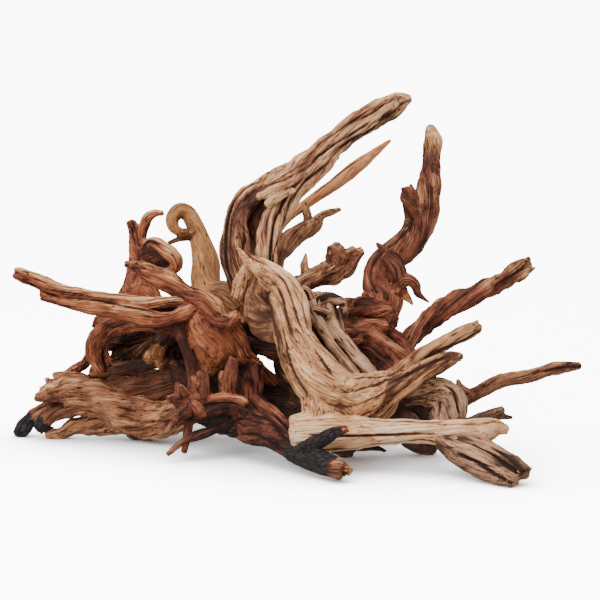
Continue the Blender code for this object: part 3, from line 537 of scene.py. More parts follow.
def back_branches():
    """The lighter branches that rise behind the tall limb, and the one that leaves low on the right."""
    return [
        Limb("thin_branch", [
            (-44, 132, 44, 14), (-36, 172, 62, 9.5), (-28, 208, 85, 7), (-16, 227, 96, 5.5),
            (5, 243, 104, 5), (30, 261, 110, 6), (50, 277, 114, 7), (70, 292, 118, 5),
            (91, 308, 122, 1.8)
        ], groove=0.08),
        Limb("short_branch", [
            (-38, 140, 48, 13), (-32, 174, 68, 10), (-18, 198, 86, 9.5), (-2, 213, 94, 9.5),
            (14, 223, 98, 8), (21, 232, 100, 4.5), (31, 236, 100, 3.5), (41, 239, 100, 1.6)
        ], groove=0.14),
        Limb("bridge", [(9, 222, 98, 5.5), (7, 234, 101, 3.6), (4, 244, 104, 4.5)]),
        Limb("torn_branch", [
            (-34, 146, 30, 15), (-5, 161, 42, 12), (15, 169, 50, 12), (35, 177, 54, 14),
            (50, 187, 56, 10), (62, 197, 58, 4)
        ], ribs=5, groove=0.2, torn_end=True),
        Limb("torn_knob", [(35, 184, 50, 10), (34, 198, 48, 7.5)], ribs=4, torn_end=True),
        Limb("torn_crest", [(38, 188, 52, 8), (54, 198, 54, 4.5)], torn_end=True),
        Limb("torn_spike", [(6, 170, 46, 8), (5, 182, 44, 5.5), (6, 196, 44, 1.6)], thick=0.6),
        Limb("low_branch", [
            (112, 52, -40, 11), (140, 50, -44, 9), (165, 50, -35, 8), (182, 58, -28, 7.5),
            (200, 66, -20, 7), (230, 71, -10, 6.2), (256, 79, 0, 6), (279, 82, 8, 3)
        ], ribs=2, groove=0.2, torn_end=True),
        Limb("low_thorn", [(170, 54, -36, 5), (160, 62, -38, 3.5), (158, 69, -40, 1.5)]),
    ]


def crown():
    """The heart of the root, and the roots beneath and behind it that it stands on."""
    return [
        Limb("heart", [
            (-140, 103, 52, 20), (-100, 113, 48, 28), (-55, 123, 40, 30), (-10, 128, 33, 26),
            (30, 118, 25, 22), (65, 103, 22, 19)
        ], ribs=5, groove=0.14, turn=260),
        Limb("heart_drop", [(-95, 108, 30, 26), (-95, 74, 4, 24), (-84, 40, -28, 19), (-58, 26, -52, 15)]),
        Limb("right_drop", [(20, 106, 14, 20), (32, 78, -30, 20), (30, 50, -76, 20)]),
        Limb("shade_post", [(-6, 124, 20, 16), (-12, 92, 14, 13.5), (-6, 66, 0, 13), (12, 44, -30, 13)]),
        Limb("left_shade_post", [
            (-64, 104, 10, 17), (-60, 76, -8, 15), (-54, 50, -30, 13), (-44, 30, -50, 12)
        ]),
        Limb("olive_log", [(-62, 58, -22, 12), (-40, 60, -10, 9.5), (-14, 57, -4, 9), (10, 52, -20, 13)]),
        Limb("low_cross", [
            (-50, 34, -44, 13), (-36, 44, -18, 10), (-14, 39, -18, 9.5), (14, 34, -40, 12),
            (24, 34, -84, 14)
        ]),
        Limb("high_cross", [(-62, 102, 8, 8), (-35, 100, 2, 7), (-10, 90, -5, 8.5), (10, 72, -28, 11)]),
        Limb("left_under", [
            (12, 42, -62, 13), (30, 13, -58, 12), (50, 2, -52, 10)
        ], groove=0.25, torn_end=True),
        Limb("under_twig", [(46, 4, -52, 7), (72, 1, -46, 4.6), (88, -4, -42, 2)]),
        Limb("right_under", [
            (85, 36, -62, 13), (112, 10, -46, 12), (132, 0.8, -40, 10)
        ], groove=0.25, torn_end=True),
        Limb("left_back_root", [
            (-100, 103, 66, 18), (-115, 70, 110, 13), (-128, 35, 146, 9.5)
        ], groove=0.2, torn_end=True),
        Limb("right_back_root", [
            (25, 118, 44, 18), (50, 78, 95, 12.5), (78, 50, 136, 9.5), (95, 38.5, 156, 7)
        ], groove=0.2, torn_end=True),
        Limb("middle_back_root", [
            (-55, 113, 70, 19), (-62, 78, 125, 12.5), (-70, 54, 170, 9.5), (-74, 43, 190, 8)
        ], groove=0.2, torn_end=True),
        Limb("high_back_spur", [
            (-45, 130, 52, 17), (-45, 168, 116, 8.5), (-50, 193, 148, 5), (-55, 208, 164, 2.2)
        ], torn_end=True),
        Limb("right_back_spur", [
            (45, 108, 50, 14), (65, 88, 108, 9.5), (85, 70, 148, 6), (100, 63, 172, 2.6)
        ], torn_end=True),
        Limb("left_back_spur", [
            (-110, 108, 70, 14), (-125, 118, 125, 9), (-140, 130, 160, 5.5), (-150, 136, 182, 2.6)
        ], torn_end=True),
    ]


# Where fire has charred a limb: from and to, as shares of its length, and how strongly.
CHARRED = {
    "outer_tip": [(-0.2, 0.3, 1.0)],
    "inner_tip": [(-0.2, 0.24, 1.0)],
    "charred_arm": [(0.05, 0.95, 1.0)],
    "front_root": [(0.57, 0.94, 1.0)],
    "bright_splinter": [(-0.2, 0.6, 1.0)],
    "upright": [(0.76, 0.88, 0.36)],
    "crescent": [(0.1, 0.85, 0.45)],
    "low_crescent": [(-0.2, 1.2, 0.45)],
}

# Where a limb has lost its skin and shows paler, more orange wood, in the same way.
BARE = {
    "upright": [(0.88, 1.3, 0.75), (0.5, 0.72, 0.3)],
    "side_knob": [(-0.2, 1.3, 0.2)],
    "crust": [(0.5, 1.3, 0.45)],
    "front_root": [(0.94, 1.3, 0.45)],
    "bright_splinter": [(0.62, 1.3, 0.85)],
    "reaching_branch": [(0.84, 1.3, 0.45)],
    "log_top_tooth": [(-0.2, 0.5, 0.5)],
    "big_log": [(-0.2, 0.12, 0.5)],
    "torn_spike": [(0.2, 1.3, 0.9)],
    "sawn_stub": [(0.88, 1.6, 1.0)],
    "claw_twig": [(0.3, 1.3, 0.5)],
}

# Limbs whose up-facing side is painted paler in bared wood's colours, partly wear and partly painted
# highlight, and by how much.
LIT_AND_WORN_ABOVE = {
    "upper_rail": 0.55, "lower_rail": 0.4, "ear_rim": 0.8, "top_curl": 0.9, "ridge": 0.35,
    "reaching_branch": 0.12, "crescent": 0.4, "tongue": 0.3, "torn_branch": 0.3, "torn_crest": 0.5,
    "torn_knob": 0.3, "upright": 0.2, "crust": 0.4, "outer_strand": 0.35, "arm": 0.3, "hook": 0.2,
}

# Limbs whose down-facing side is darkened with char's colours as painted shade, and by how much.
UNDERSIDE_SHADE = {
    "arm": 0.35, "outer_strand": 0.2, "long_twig": 0.7, "low_log": 0.35, "log_foot": 0.5,
    "big_log": 0.2,
}

# How much paler or darker a limb is than its piece, from -1 to 1, or so at its two ends.
# Among these, bright_ridge is a painted highlight, dull_side and under_shade are painted shade, and log and
# hollow_back are lightened as painted light on their lit faces.
TONES = {
    "pale_strand": 0.3, "high_flake": 0.4, "low_flake": 0.4, "bright_ridge": (0.45, 0.05),
    "dull_side": -0.5, "arm": 0.3, "ear_web": -0.4, "outer_strand": 0.15, "thin_branch": 0.25,
    "short_branch": 0.15, "torn_branch": 0.12, "swirl": -0.12, "upper_prong": -0.12,
    "lower_prong": -0.15, "middle_strand": -0.1, "inner_strand": -0.12, "belly": -0.28,
    "hook_twig": -0.5, "slab": -0.12, "strand": -0.05, "spike": 0.04, "heel": -0.08, "hook_foot": -0.3,
    "right_splinter": -0.3, "right_barb": -0.25, "block_wall": -0.7, "under_brace": -0.55,
    "upper_leg": -0.12, "lower_leg": -0.12, "upper_rail": 0.1, "lower_rail": 0.04, "web": -0.6,
    "left_leg": -0.2, "arch": -0.15, "arch_foot": -0.1, "front_root": -0.15, "red_fin": -0.1,
    "torn_spike": 0.3, "low_thorn": 0.1, "flared_trunk": 0.04, "burl": 0.1, "burl_lobe": 0.05,
    "long_twig": (-0.8, 0.1), "tongue": 0.2, "belly_trunk": 0.05, "rim": 0.25, "bump": 0.25,
    "fin": 0.15, "left_knob": 0.1, "reaching_branch": 0.02, "hollow_back": 0.45, "log": 0.3,
    "big_log": 0.12, "low_log": 0.1, "shade_root": 0.2, "left_rib": 0.1, "right_rib": 0.12,
    "back_rib": -0.15, "stub": 0.1, "crescent": -0.25, "prop": -0.15, "low_crescent": -0.3,
    "left_barb": 0.08, "low_barb": 0.08, "middle_barb": 0.08, "hollow_lip": (-0.1, -0.8),
    "right_drop": -0.25, "sawn_stub": -0.5, "under_shade": -0.6,
}

# How much of the folds, cracks and grain a smooth limb keeps.
CALM = {
    "belly": 0.4, "belly_trunk": 0.45, "spike": 0.7, "hip": 0.6, "bright_ridge": 0.6, "upright": 0.65,
    "swirl": 0.6, "front_root": 0.6, "log": 0.7, "upper_prong": 0.8, "lower_prong": 0.8, "hook": 0.6,
    "thin_branch": 0.7, "prop": 0.7, "crescent": 0.7, "burl": 0.8, "tongue": 0.8, "big_log": 0.85,
    "flared_trunk": 0.8,
}


class Split(NamedTuple):
    """A long crack: its place round a limb, in degrees from the side that faces the eye, where it
    starts and ends, as shares of the limb's length, and its width and depth in millimetres."""

    angle: float
    start: float
    end: float
    width: float
    depth: float


# The cracks that are told apart in the photo. Others are drawn at random.
SPLITS = {
    "spike": [
        Split(0, 0.3, 0.72, 1.3, 1.7), Split(-35, 0.2, 0.7, 0.8, 1.6), Split(30, 0.5, 0.95, 0.8, 1.6),
    ],
    "hip": [
        Split(15, -0.2, 1.2, 0.7, 1.6), Split(-20, -0.2, 1.2, 0.7, 1.6), Split(48, -0.1, 1.1, 0.7, 1.4),
        Split(-50, 0.0, 1.2, 0.7, 1.4),
    ],
    "log": [Split(4, 0.03, 0.7, 1.0, 3.2), Split(40, 0.3, 1.0, 0.8, 1.8), Split(-42, 0.4, 0.95, 0.7, 1.4)],
    "upper_rail": [Split(48, 0.0, 0.8, 1.2, 3.0), Split(5, 0.1, 0.5, 0.7, 1.6)],
    "block": [Split(-46, 0.5, 1.0, 0.9, 3.2), Split(10, 0.55, 0.95, 1.0, 2.2)],
    "upper_leg": [Split(20, 0.2, 1.1, 1.4, 3.4), Split(-30, 0.5, 1.1, 1.0, 2.6)],
    "lower_leg": [Split(0, 0.3, 1.1, 1.2, 3.0)],
    "arm": [Split(0, 0.05, 0.7, 1.0, 2.4), Split(38, 0.1, 1.0, 1.2, 2.6), Split(-35, 0.2, 0.8, 0.8, 1.8)],
    "outer_strand": [Split(-25, 0.1, 0.9, 1.3, 3.0), Split(30, 0.3, 1.0, 1.2, 2.6)],
    "pale_strand": [Split(10, 0.0, 0.8, 1.2, 3.0)],
    "upper_prong": [Split(30, 0.3, 1.0, 1.0, 2.4)],
    "lower_rail": [Split(-50, 0.0, 0.75, 1.2, 3.0)],
    "lower_prong": [Split(-30, 0.2, 0.9, 1.0, 2.4)],
}

# How much finer the cracks between bundles of fibres lie than the bundles.
SPLIT_FINENESS = 1.5

# A split wanders to and fro this far, in millimetres, each WANDER_LENGTH along the limb.
WANDER = 7.0
WANDER_LENGTH = 26.0

# How much a limb that a surface faces end on loses to one that runs along the surface, in radii.
END_ON_PENALTY = 0.7

# Random splits: one for each SPLIT_AREA square millimetres of length by radius, and between what
# bounds its start and its length lie, as shares of the limb's, and its width and depth in millimetres.
SPLIT_AREA = 1000
SPLIT_STARTS = (-0.2, 0.8)
SPLIT_LENGTHS = (0.2, 0.6)
SPLIT_WIDTHS = (0.7, 1.3)
SPLIT_DEPTHS = (0.8, 2.6)

# A split tapers off, and a mark fades out, over one part in this many of a limb's length.
SPLIT_TAPER = 8
MARK_EDGE = 12

# How high the wide and the fine strands rise, and how narrow the cracks between them are.
WIDE_STRANDS = 1.5
FINE_STRANDS = 0.7
CRACK_SHARPNESS = 11

# Rough and smooth stretches of the grain: how sharply they part, how much smooth there is, and the
# least roughness.
ROUGH_CONTRAST = 2.2
SMOOTH_SHARE = 0.4
SMOOTHEST = 0.15

# How far each round of smoothing draws a point to its neighbours, how much farther in a crease.
SMOOTHING = 0.25
CREASE_SMOOTHING = 0.4
SMOOTHING_ROUNDS = 5

# How much farther off than the nearest limb the next one may be, in radii, for a point to lie in
# a crease, and for the looks of the two limbs to blend.
CREASE_GAP = 0.5
BLEND_GAP = 0.4

# The radius of a limb that shows its relief in full, in millimetres, and the least and the most of
# it that thinner and thicker ones show.
FULL_RELIEF_RADIUS = 9
RELIEF_SHARES = (0.3, 1.15)

# A side takes painted shade below, and a painted highlight with wear above, as it faces down or up: how
# sharply, and from what slope on.
UNDERSIDE_SHADE_SHARPNESS = 3
UNDERSIDE_SHADE_START = 0.6
HIGHLIGHT_AND_WEAR_SHARPNESS = 2
HIGHLIGHT_AND_WEAR_START = 0.2

# How much folds and cracks count in the relief that a material sees, its bounds, how much lumps count in
# the tone, and the depth in millimetres of a split that is quite dark: partly the crack's own colour and
# partly painted shade.
FOLD_RELIEF = 0.5
CRACK_RELIEF = 2
MOST_RELIEF = 1.5
LUMP_TONE = 0.25
DARK_SPLIT = 2

# Each pattern's seed is its piece's, and this many more.
FINE_SEED = 3
FOLD_SEED = 5
CRACK_SEED = 7
ROUGH_SEED = 9
LUMP_SEED = 11
NOTCH_SEED = 13

# How far, in millimetres, each limb's patterns are moved on from the limb's before, so that none match.
GRAIN_SHIFT = (37.0, 53.0, 211.0)

# Large odd numbers and shifts that scatter a noise cell's place and seed, and the bits that are kept.
CELL_SCATTER = (73856093, 19349663, 83492791)
SEED_SCATTER = 2654435761
LAST_SCATTER = 1274126177
SHIFTS = (13, 16)
KEPT_BITS = 0x7FFFFFFF
VALUE_BITS = 0xFFFF


class Seen(NamedTuple):
    """Points as one limb sees them, in millimetres and radians.

    grain has two coordinates across the limb and one along it, and turns with the limb's grooves.
    nearness is the distance from the limb's line in radii, and share is of its length.
    """

    grain: np.ndarray
    nearness: np.ndarray
    radius: np.ndarray
    share: np.ndarray
    angle: np.ndarray
    run: np.ndarray
    length: float


def on_sheet(across, up, back):
    """The place, in millimetres, of points drawn on the sheet and moved back along the sight line."""
    grow = 1 + back / EYE_DISTANCE
    rise = SIGHT_HEIGHT + (up - SIGHT_HEIGHT) * grow
    x = across * grow - FOOTPRINT_MIDDLE[0]
    y = rise * math.sin(EYE_TILT) + back * math.cos(EYE_TILT) - FOOTPRINT_MIDDLE[1]
    z = rise * math.cos(EYE_TILT) - back * math.sin(EYE_TILT) - GROUND_HEIGHT
    return np.stack([x, y, z], axis=-1)


def smooth_line(points):
    """A smooth curve through a limb's points, finely divided: places and radii."""
    points = np.array(points, float)
    knots = np.vstack([2 * points[0] - points[1], points, 2 * points[-1] - points[-2]])
    share = np.linspace(0, 1, LINE_STEPS, endpoint=False)[:, None]
    stretches = []
    for before, first, last, after in zip(knots, knots[1:], knots[2:], knots[3:]):
        bend = 2 * before - 5 * first + 4 * last - after
        swing = -before + 3 * first - 3 * last + after
        stretches.append(first + ((last - before) * share + bend * share**2 + swing * share**3) / 2)
    line = np.vstack(stretches + [points[-1:]])
    radii = np.clip(line[:, 3], points[:, 3].min(), points[:, 3].max())
    return on_sheet(line[:, 0], line[:, 1], line[:, 2]), radii


def ring_stations(places, radii):
    """The curve cut to evenly spaced rings: centres, radii and run along it."""
    lengths = np.linalg.norm(np.diff(places, axis=0), axis=1)
    run = np.concatenate([[0], np.cumsum(lengths)])
    ring_run = np.linspace(0, run[-1], max(2, round(run[-1] / RING_SPACING)) + 1)
    centres = np.stack([np.interp(ring_run, run, places[:, axis]) for axis in range(3)], axis=1)
    return centres, np.interp(ring_run, run, radii), ring_run


def ring_axes(centres):
    """For each ring, the way along the limb, the way to the eye and the way across."""
    along = np.gradient(centres, axis=0)
    along /= np.linalg.norm(along, axis=1, keepdims=True)
    depth = np.array([0, -math.cos(EYE_TILT), math.sin(EYE_TILT)])
    if abs(along[0] @ depth) > HEAD_ON:
        depth = np.array([0, math.sin(EYE_TILT), math.cos(EYE_TILT)])
    depths = []
    for direction in along:
        depth = depth - (depth @ direction) * direction
        depth = depth / np.linalg.norm(depth)
        depths.append(depth)
    depths = np.array(depths)
    return along, depths, np.cross(along, depths)


def phase_of(limb):
    """Where a limb's grooves and teeth start, the same each run."""
    return random.Random(limb.name).uniform(0, 2 * math.pi)


def grain(limb, phase, angle, run):
    """How far a limb reaches at an angle and a run along it, as a share of its radius."""
    wave = limb.ribs * (angle + 2 * math.pi * run / limb.turn) + phase
    groove = (0.5 + 0.5 * np.cos(wave)) ** GROOVE_SHARPNESS
    sway = np.sin(angle + run / SWAY_LENGTH + phase)
    return 1 + limb.groove * (RIDGE_LIFT - groove) + SWAY * sway


def torn(teeth, angle, radius):
    """How far a torn end's rim stands out along the limb, at each angle."""
    return radius * np.interp(angle, np.linspace(0, 2 * math.pi, TEETH + 1), teeth + teeth[:1])


def limb_rings(limb):
    """The rings of one limb, each a loop of points in millimetres, and the rings' centres."""
    draw = random.Random(limb.name)
    phase = draw.uniform(0, 2 * math.pi)
    start_teeth = [draw.uniform(0, TOOTH_LENGTH) for _ in range(TEETH)]
    end_teeth = [draw.uniform(0, TOOTH_LENGTH) for _ in range(TEETH)]
    centres, radii, run = ring_stations(*smooth_line(limb.line))
    along, depths, across = ring_axes(centres)
    sides = max(FEWEST_SIDES, round(2 * math.pi * radii.max() / SIDE_LENGTH))
    angle = np.linspace(0, 2 * math.pi, sides, endpoint=False)
    reach = radii[:, None] * grain(limb, phase, angle[None, :], run[:, None])
    deep = (reach * np.cos(angle) * limb.thick)[:, :, None] * depths[:, None, :]
    wide = (reach * np.sin(angle))[:, :, None] * across[:, None, :]
    rings = centres[:, None, :] + deep + wide
    if limb.torn_start:
        rings[0] -= torn(start_teeth, angle, radii[0])[:, None] * along[0]
    if limb.torn_end:
        rings[-1] += torn(end_teeth, angle, radii[-1])[:, None] * along[-1]
    return rings, centres


def limb_tube(limb):
    """A limb's closed tube: its points in metres, and its faces as rows of point numbers."""
    rings, centres = limb_rings(limb)
    count, sides = rings.shape[:2]
    points = np.vstack([rings.reshape(-1, 3), centres[:1], centres[-1:]]) * MM
    side = np.arange(sides)
    after = (side + 1) % sides
    faces = []
    for ring in range(count - 1):
        low, high = ring * sides, (ring + 1) * sides
        faces += np.stack([low + side, low + after, high + after, high + side], axis=1).tolist()
    first, last = count * sides, count * sides + 1
    top = (count - 1) * sides
    faces += np.stack([after, side, np.full(sides, first)], axis=1).tolist()
    faces += np.stack([top + side, top + after, np.full(sides, last)], axis=1).tolist()
    return points, faces


def rough_mesh(name, limbs):
    """All the limbs' tubes in one mesh, still crossing one another."""
    points, faces = [], []
    for limb in limbs:
        more_points, more_faces = limb_tube(limb)
        start = sum(len(some) for some in points)
        points.append(more_points)
        faces += [[start + corner for corner in face] for face in more_faces]
    mesh = bpy.data.meshes.new(name)
    mesh.from_pydata(np.vstack(points).tolist(), [], faces)
    return mesh


def plain_mesh(piece):
    """Keeps a piece's shape as its modifiers leave it."""
    bpy.context.view_layer.update()
    seen = piece.evaluated_get(bpy.context.evaluated_depsgraph_get())
    mesh = bpy.data.meshes.new_from_object(seen)
    piece.modifiers.clear()
    piece.data = mesh


def grown_together(piece, step):
    """Fuses a piece's crossing tubes into one skin of even faces."""
    skin = piece.modifiers.new("grow together", "REMESH")
    skin.mode = "VOXEL"
    skin.voxel_size = step
    plain_mesh(piece)


def read(values, kind, width=1, number=np.float32):
    """What a mesh's points, edges, corners or faces hold, as an array."""
    flat = np.empty(len(values) * width, number)
    values.foreach_get(kind, flat)
    return flat.reshape(-1, width) if width > 1 else flat


def smoothed(places, edges, strength, rounds):
    """Points drawn towards their neighbours' middle, each by its own strength."""
    count = np.bincount(edges.ravel(), minlength=len(places))[:, None]
    for _ in range(rounds):
        total = np.stack([
            np.bincount(edges[:, 0], places[edges[:, 1], axis], len(places))
            + np.bincount(edges[:, 1], places[edges[:, 0], axis], len(places))
            for axis in range(3)
        ], axis=1)
        places = places + strength[:, None] * (total / count - places)
    return places


def noise(places, seed):
    """Smooth noise from 0 to 1 at points whose unit is the noise's own grid."""
    cell = np.floor(places).astype(np.int64)
    share = places - cell
    share = share * share * (3 - 2 * share)
    total = np.zeros(len(places))
    for corner in np.ndindex(2, 2, 2):
        x, y, z = ((cell + corner) * CELL_SCATTER).T
        mixed = x ^ y ^ z ^ (seed * SEED_SCATTER)
        mixed = (mixed ^ (mixed >> SHIFTS[0])) * LAST_SCATTER & KEPT_BITS
        value = ((mixed ^ (mixed >> SHIFTS[1])) & VALUE_BITS) / VALUE_BITS
        total += np.prod(np.where(corner, share, 1 - share), axis=1) * value
    return total


def along_limb(limb, places, normals):
    """Points, in millimetres, and the ways that they face, as a limb sees them."""
    centres, radii, run = ring_stations(*smooth_line(limb.line))
    along, depths, across = ring_axes(centres)
    far = (places**2).sum(1)[:, None] - 2 * places @ centres.T + (centres**2).sum(1)
    near = far.argmin(1)
    offset = places - centres[near]
    slip = (offset * along[near]).sum(1)
    deep = (offset * depths[near]).sum(1) / limb.thick
    wide = (offset * across[near]).sum(1)
    reach = np.hypot(deep, wide)
    past = np.maximum(np.abs(slip) - RING_SPACING, 0)
    end_on = (normals * along[near]).sum(1) ** 2
    nearness = np.hypot(reach, past) / radii[near] + END_ON_PENALTY * end_on
    run_here = run[near] + slip
    angle = np.arctan2(wide, deep)
    turned = angle + 2 * math.pi * run_here / limb.turn
    grain_at = np.stack([reach * np.cos(turned), reach * np.sin(turned), run_here], axis=1)
    return Seen(grain_at, nearness, radii[near], run_here / run[-1], angle, run_here, run[-1])


def random_splits(limb, run, radius, plenty):
    """Cracks drawn at random along a limb, the same each run."""
    draw = random.Random(limb.name + " splits")
    splits = []
    for _ in range(round(plenty * run * radius / SPLIT_AREA)):
        start = draw.uniform(*SPLIT_STARTS)
        end = start + draw.uniform(*SPLIT_LENGTHS)
        angle = draw.uniform(0, 360)
        width = draw.uniform(*SPLIT_WIDTHS)
        depth = draw.uniform(*SPLIT_DEPTHS)
        splits.append(Split(angle, start, end, width, depth))
    return splits


def split_cuts(limb, seen, plenty):
    """How deep a limb's splits cut at each point, in millimetres."""
    splits = SPLITS.get(limb.name, []) + random_splits(limb, seen.length, seen.radius.max(), plenty)
    phase = np.full_like(seen.run, phase_of(limb))
    track = np.stack([seen.run / WANDER_LENGTH, phase, np.zeros_like(seen.run)], axis=1)
    cuts = np.zeros(len(seen.run))
    for number, split in enumerate(splits):
        wander = (noise(track, number) - 0.5) * WANDER
        turn = seen.angle - math.radians(split.angle)
        turn = (turn + math.pi) % (2 * math.pi) - math.pi
        aside = turn * seen.radius + wander
        inside = np.minimum(seen.share - split.start, split.end - seen.share)
        taper = np.clip(inside * SPLIT_TAPER, 0, 1)
        cuts = np.maximum(cuts, split.depth * taper * np.exp(-((aside / split.width) ** 2)))
    return cuts


def strands(grain_at, sizes, seed):
    """The height of the folds and of the grain, from -1 to 1, and how deep in a crack each point is."""
    across = grain_at * MM * (1, 1, 0)
    along = grain_at * MM * (0, 0, 1)
    bundle = across / sizes.strand_width + along / sizes.strand_length
    fold = noise(across / sizes.fold_width + along / sizes.fold_length, seed + FOLD_SEED)
    wide = noise(bundle, seed) - 0.5
    fine = noise(across / sizes.fibre_width + along / sizes.fibre_length, seed + FINE_SEED) - 0.5
    split = noise(bundle * SPLIT_FINENESS, seed + CRACK_SEED)
    rough = noise(grain_at * MM / sizes.fold_length, seed + ROUGH_SEED)
    rough = np.clip(rough * ROUGH_CONTRAST - SMOOTH_SHARE, SMOOTHEST, 1)
    crack = (1 - np.abs(2 * split - 1)) ** CRACK_SHARPNESS * rough
    return 2 * fold - 1, (wide * WIDE_STRANDS + fine * FINE_STRANDS) * rough, crack


def marked(marks, limb, part):
    """How strongly a kind of mark lies on a limb at each share of its length."""
    strength = np.zeros(len(part))
    for start, end, most in marks.get(limb.name, ()):
        inside = np.clip(np.minimum(part - start, end - part) * MARK_EDGE + 0.5, 0, 1)
        strength = np.maximum(strength, most * inside)
    return strength


class Looks(NamedTuple):
    """A skin's relief and marks at its points.

    fold and height go from -1 to 1, and cut is in millimetres. size and calm are the shares that
    are kept of the relief and of the material's lines. The rest go from 0 to 1, but tone from -1.
    """

    fold: np.ndarray
    height: np.ndarray
    crack: np.ndarray
    cut: np.ndarray
    char: np.ndarray
    bare: np.ndarray
    tone: np.ndarray
    size: np.ndarray
    calm: np.ndarray
    underside_shade: np.ndarray
    highlight_and_wear: np.ndarray


def looks_of(limb, view, sizes, cracks, seed):
    """One limb's own looks at all the points."""
    fold, height, crack = strands(view.grain, sizes, seed)
    everywhere = np.ones(len(fold))
    calm = CALM.get(limb.name, 1) * everywhere
    return Looks(
        fold,
        height,
        crack,
        cut=split_cuts(limb, view, cracks),
        char=marked(CHARRED, limb, view.share),
        bare=marked(BARE, limb, view.share),
        tone=np.interp(view.share, (0, 1), np.broadcast_to(TONES.get(limb.name, 0), 2)),
        size=np.clip(view.radius / FULL_RELIEF_RADIUS, *RELIEF_SHARES) * calm,
        calm=calm,
        underside_shade=UNDERSIDE_SHADE.get(limb.name, 0) * everywhere,
        highlight_and_wear=LIT_AND_WORN_ABOVE.get(limb.name, 0) * everywhere,
    )


def nearest_limbs(views):
    """Each point's nearest limb, the next one, and how much farther off that one is, in radii."""
    nearness = np.stack([view.nearness for view in views])
    order = np.argsort(nearness, axis=0)
    nearest, second = order[0], order[min(1, len(views) - 1)]
    points = np.arange(len(nearest))
    if len(views) == 1:
        return nearest, second, np.full(len(points), np.inf)
    return nearest, second, nearness[second, points] - nearness[nearest, points]


def blended(values, nearest, second, share):
    """Each limb's values at the points, mixed from the nearest limb's and the next one's."""
    values = np.stack(values)
    points = np.arange(len(share))
    first, other = values[nearest, points], values[second, points]
    return other + (first - other) * share


def move_points(mesh, places):
    """Moves a mesh's points to places in millimetres."""
    mesh.vertices.foreach_set("co", (places * MM).astype(np.float32).ravel())
    mesh.update()


def weathered(piece, limbs, sizes, ruggedness, cracks, seed):
    """Raises the grain, cracks and lumps out of a piece's skin, and notes them for its material."""
    mesh = piece.data
    places = read(mesh.vertices, "co", 3).astype(float) / MM
    facing = read(mesh.vertex_normals, "vector", 3)
    views = [along_limb(limb, places, facing) for limb in limbs]
    nearest, second, gap = nearest_limbs(views)
    share = np.clip(0.5 + gap / BLEND_GAP, 0, 1)
    limb_looks = [
        looks_of(limb, view, sizes, cracks, seed + number)
        for number, (limb, view) in enumerate(zip(limbs, views))
    ]
    looks = Looks(*(blended(values, nearest, second, share) for values in zip(*limb_looks)))

    crease = np.clip(1 - gap / CREASE_GAP, 0, 1)
    edges = read(mesh.edges, "vertices", 2, np.int32)
    places = smoothed(places, edges, SMOOTHING + CREASE_SMOOTHING * crease, SMOOTHING_ROUNDS)
    move_points(mesh, places)
    normals = read(mesh.vertex_normals, "vector", 3)

    lump = noise(places * MM / sizes.lump_size, seed + LUMP_SEED) - 0.5
    notch = noise(places * MM / sizes.notch_size, seed + NOTCH_SEED) - 0.5
    rise = looks.fold * sizes.fold_height / 2 + looks.height * sizes.strand_height / 2
    rise = rise - looks.crack * sizes.crack_depth
    rise = rise + lump * sizes.lump_height + notch * sizes.notch_height
    lift = SWELL + looks.size * (ruggedness * rise / MM - looks.cut)
    places = places + normals * lift[:, None]
    places[:, 2] = np.maximum(places[:, 2], 0)
    move_points(mesh, places)
    note_looks(mesh, looks, normals, lump)
    note_grain(mesh, views, nearest)
    mesh.polygons.foreach_set("use_smooth", np.ones(len(mesh.polygons), bool))


def note_looks(mesh, looks, normals, lump):
    """Stores a skin's looks on its points, for its material."""
    below = np.clip(-normals[:, 2] * UNDERSIDE_SHADE_SHARPNESS - UNDERSIDE_SHADE_START, 0, 1)
    above = np.clip(normals[:, 2] * HIGHLIGHT_AND_WEAR_SHARPNESS - HIGHLIGHT_AND_WEAR_START, 0, 1)
    relief = looks.fold * FOLD_RELIEF + looks.height - looks.crack * CRACK_RELIEF
    add_attribute(mesh, "relief", "POINT", np.clip(relief, -MOST_RELIEF, MOST_RELIEF))
    # char also takes painted shade on the sides that face down.
    add_attribute(mesh, "char", "POINT", np.maximum(looks.char, looks.underside_shade * below))
    add_attribute(mesh, "split", "POINT", looks.cut / DARK_SPLIT)
    add_attribute(mesh, "contrast", "POINT", looks.calm)
    # bare also takes a painted highlight, with wear, on the sides that face up.
    add_attribute(mesh, "bare", "POINT", np.maximum(looks.bare, looks.highlight_and_wear * above))
    add_attribute(mesh, "tone", "POINT", looks.tone + lump * LUMP_TONE)


def note_grain(mesh, views, nearest):
    """Stores where each face's corners lie in the grain of the face's own limb."""
    corners = read(mesh.loops, "vertex_index", number=np.int32)
    starts = read(mesh.polygons, "loop_start", number=np.int32)
    counts = np.diff(np.append(starts, len(corners)))
    limb = np.repeat(nearest[corners[starts]], counts)
    grain_at = np.stack([view.grain for view in views])[limb, corners]
    add_attribute(mesh, "grain", "CORNER", grain_at + limb[:, None] * np.array(GRAIN_SHIFT))


def add_attribute(mesh, name, domain, values):
    """Stores numbers, or vectors of three, on a mesh."""
    if values.ndim == 1:
        attribute = mesh.attributes.new(name, "FLOAT", domain)
        attribute.data.foreach_set("value", values.astype(np.float32))
    else:
        attribute = mesh.attributes.new(name, "FLOAT_VECTOR", domain)
        attribute.data.foreach_set("vector", values.astype(np.float32).ravel())


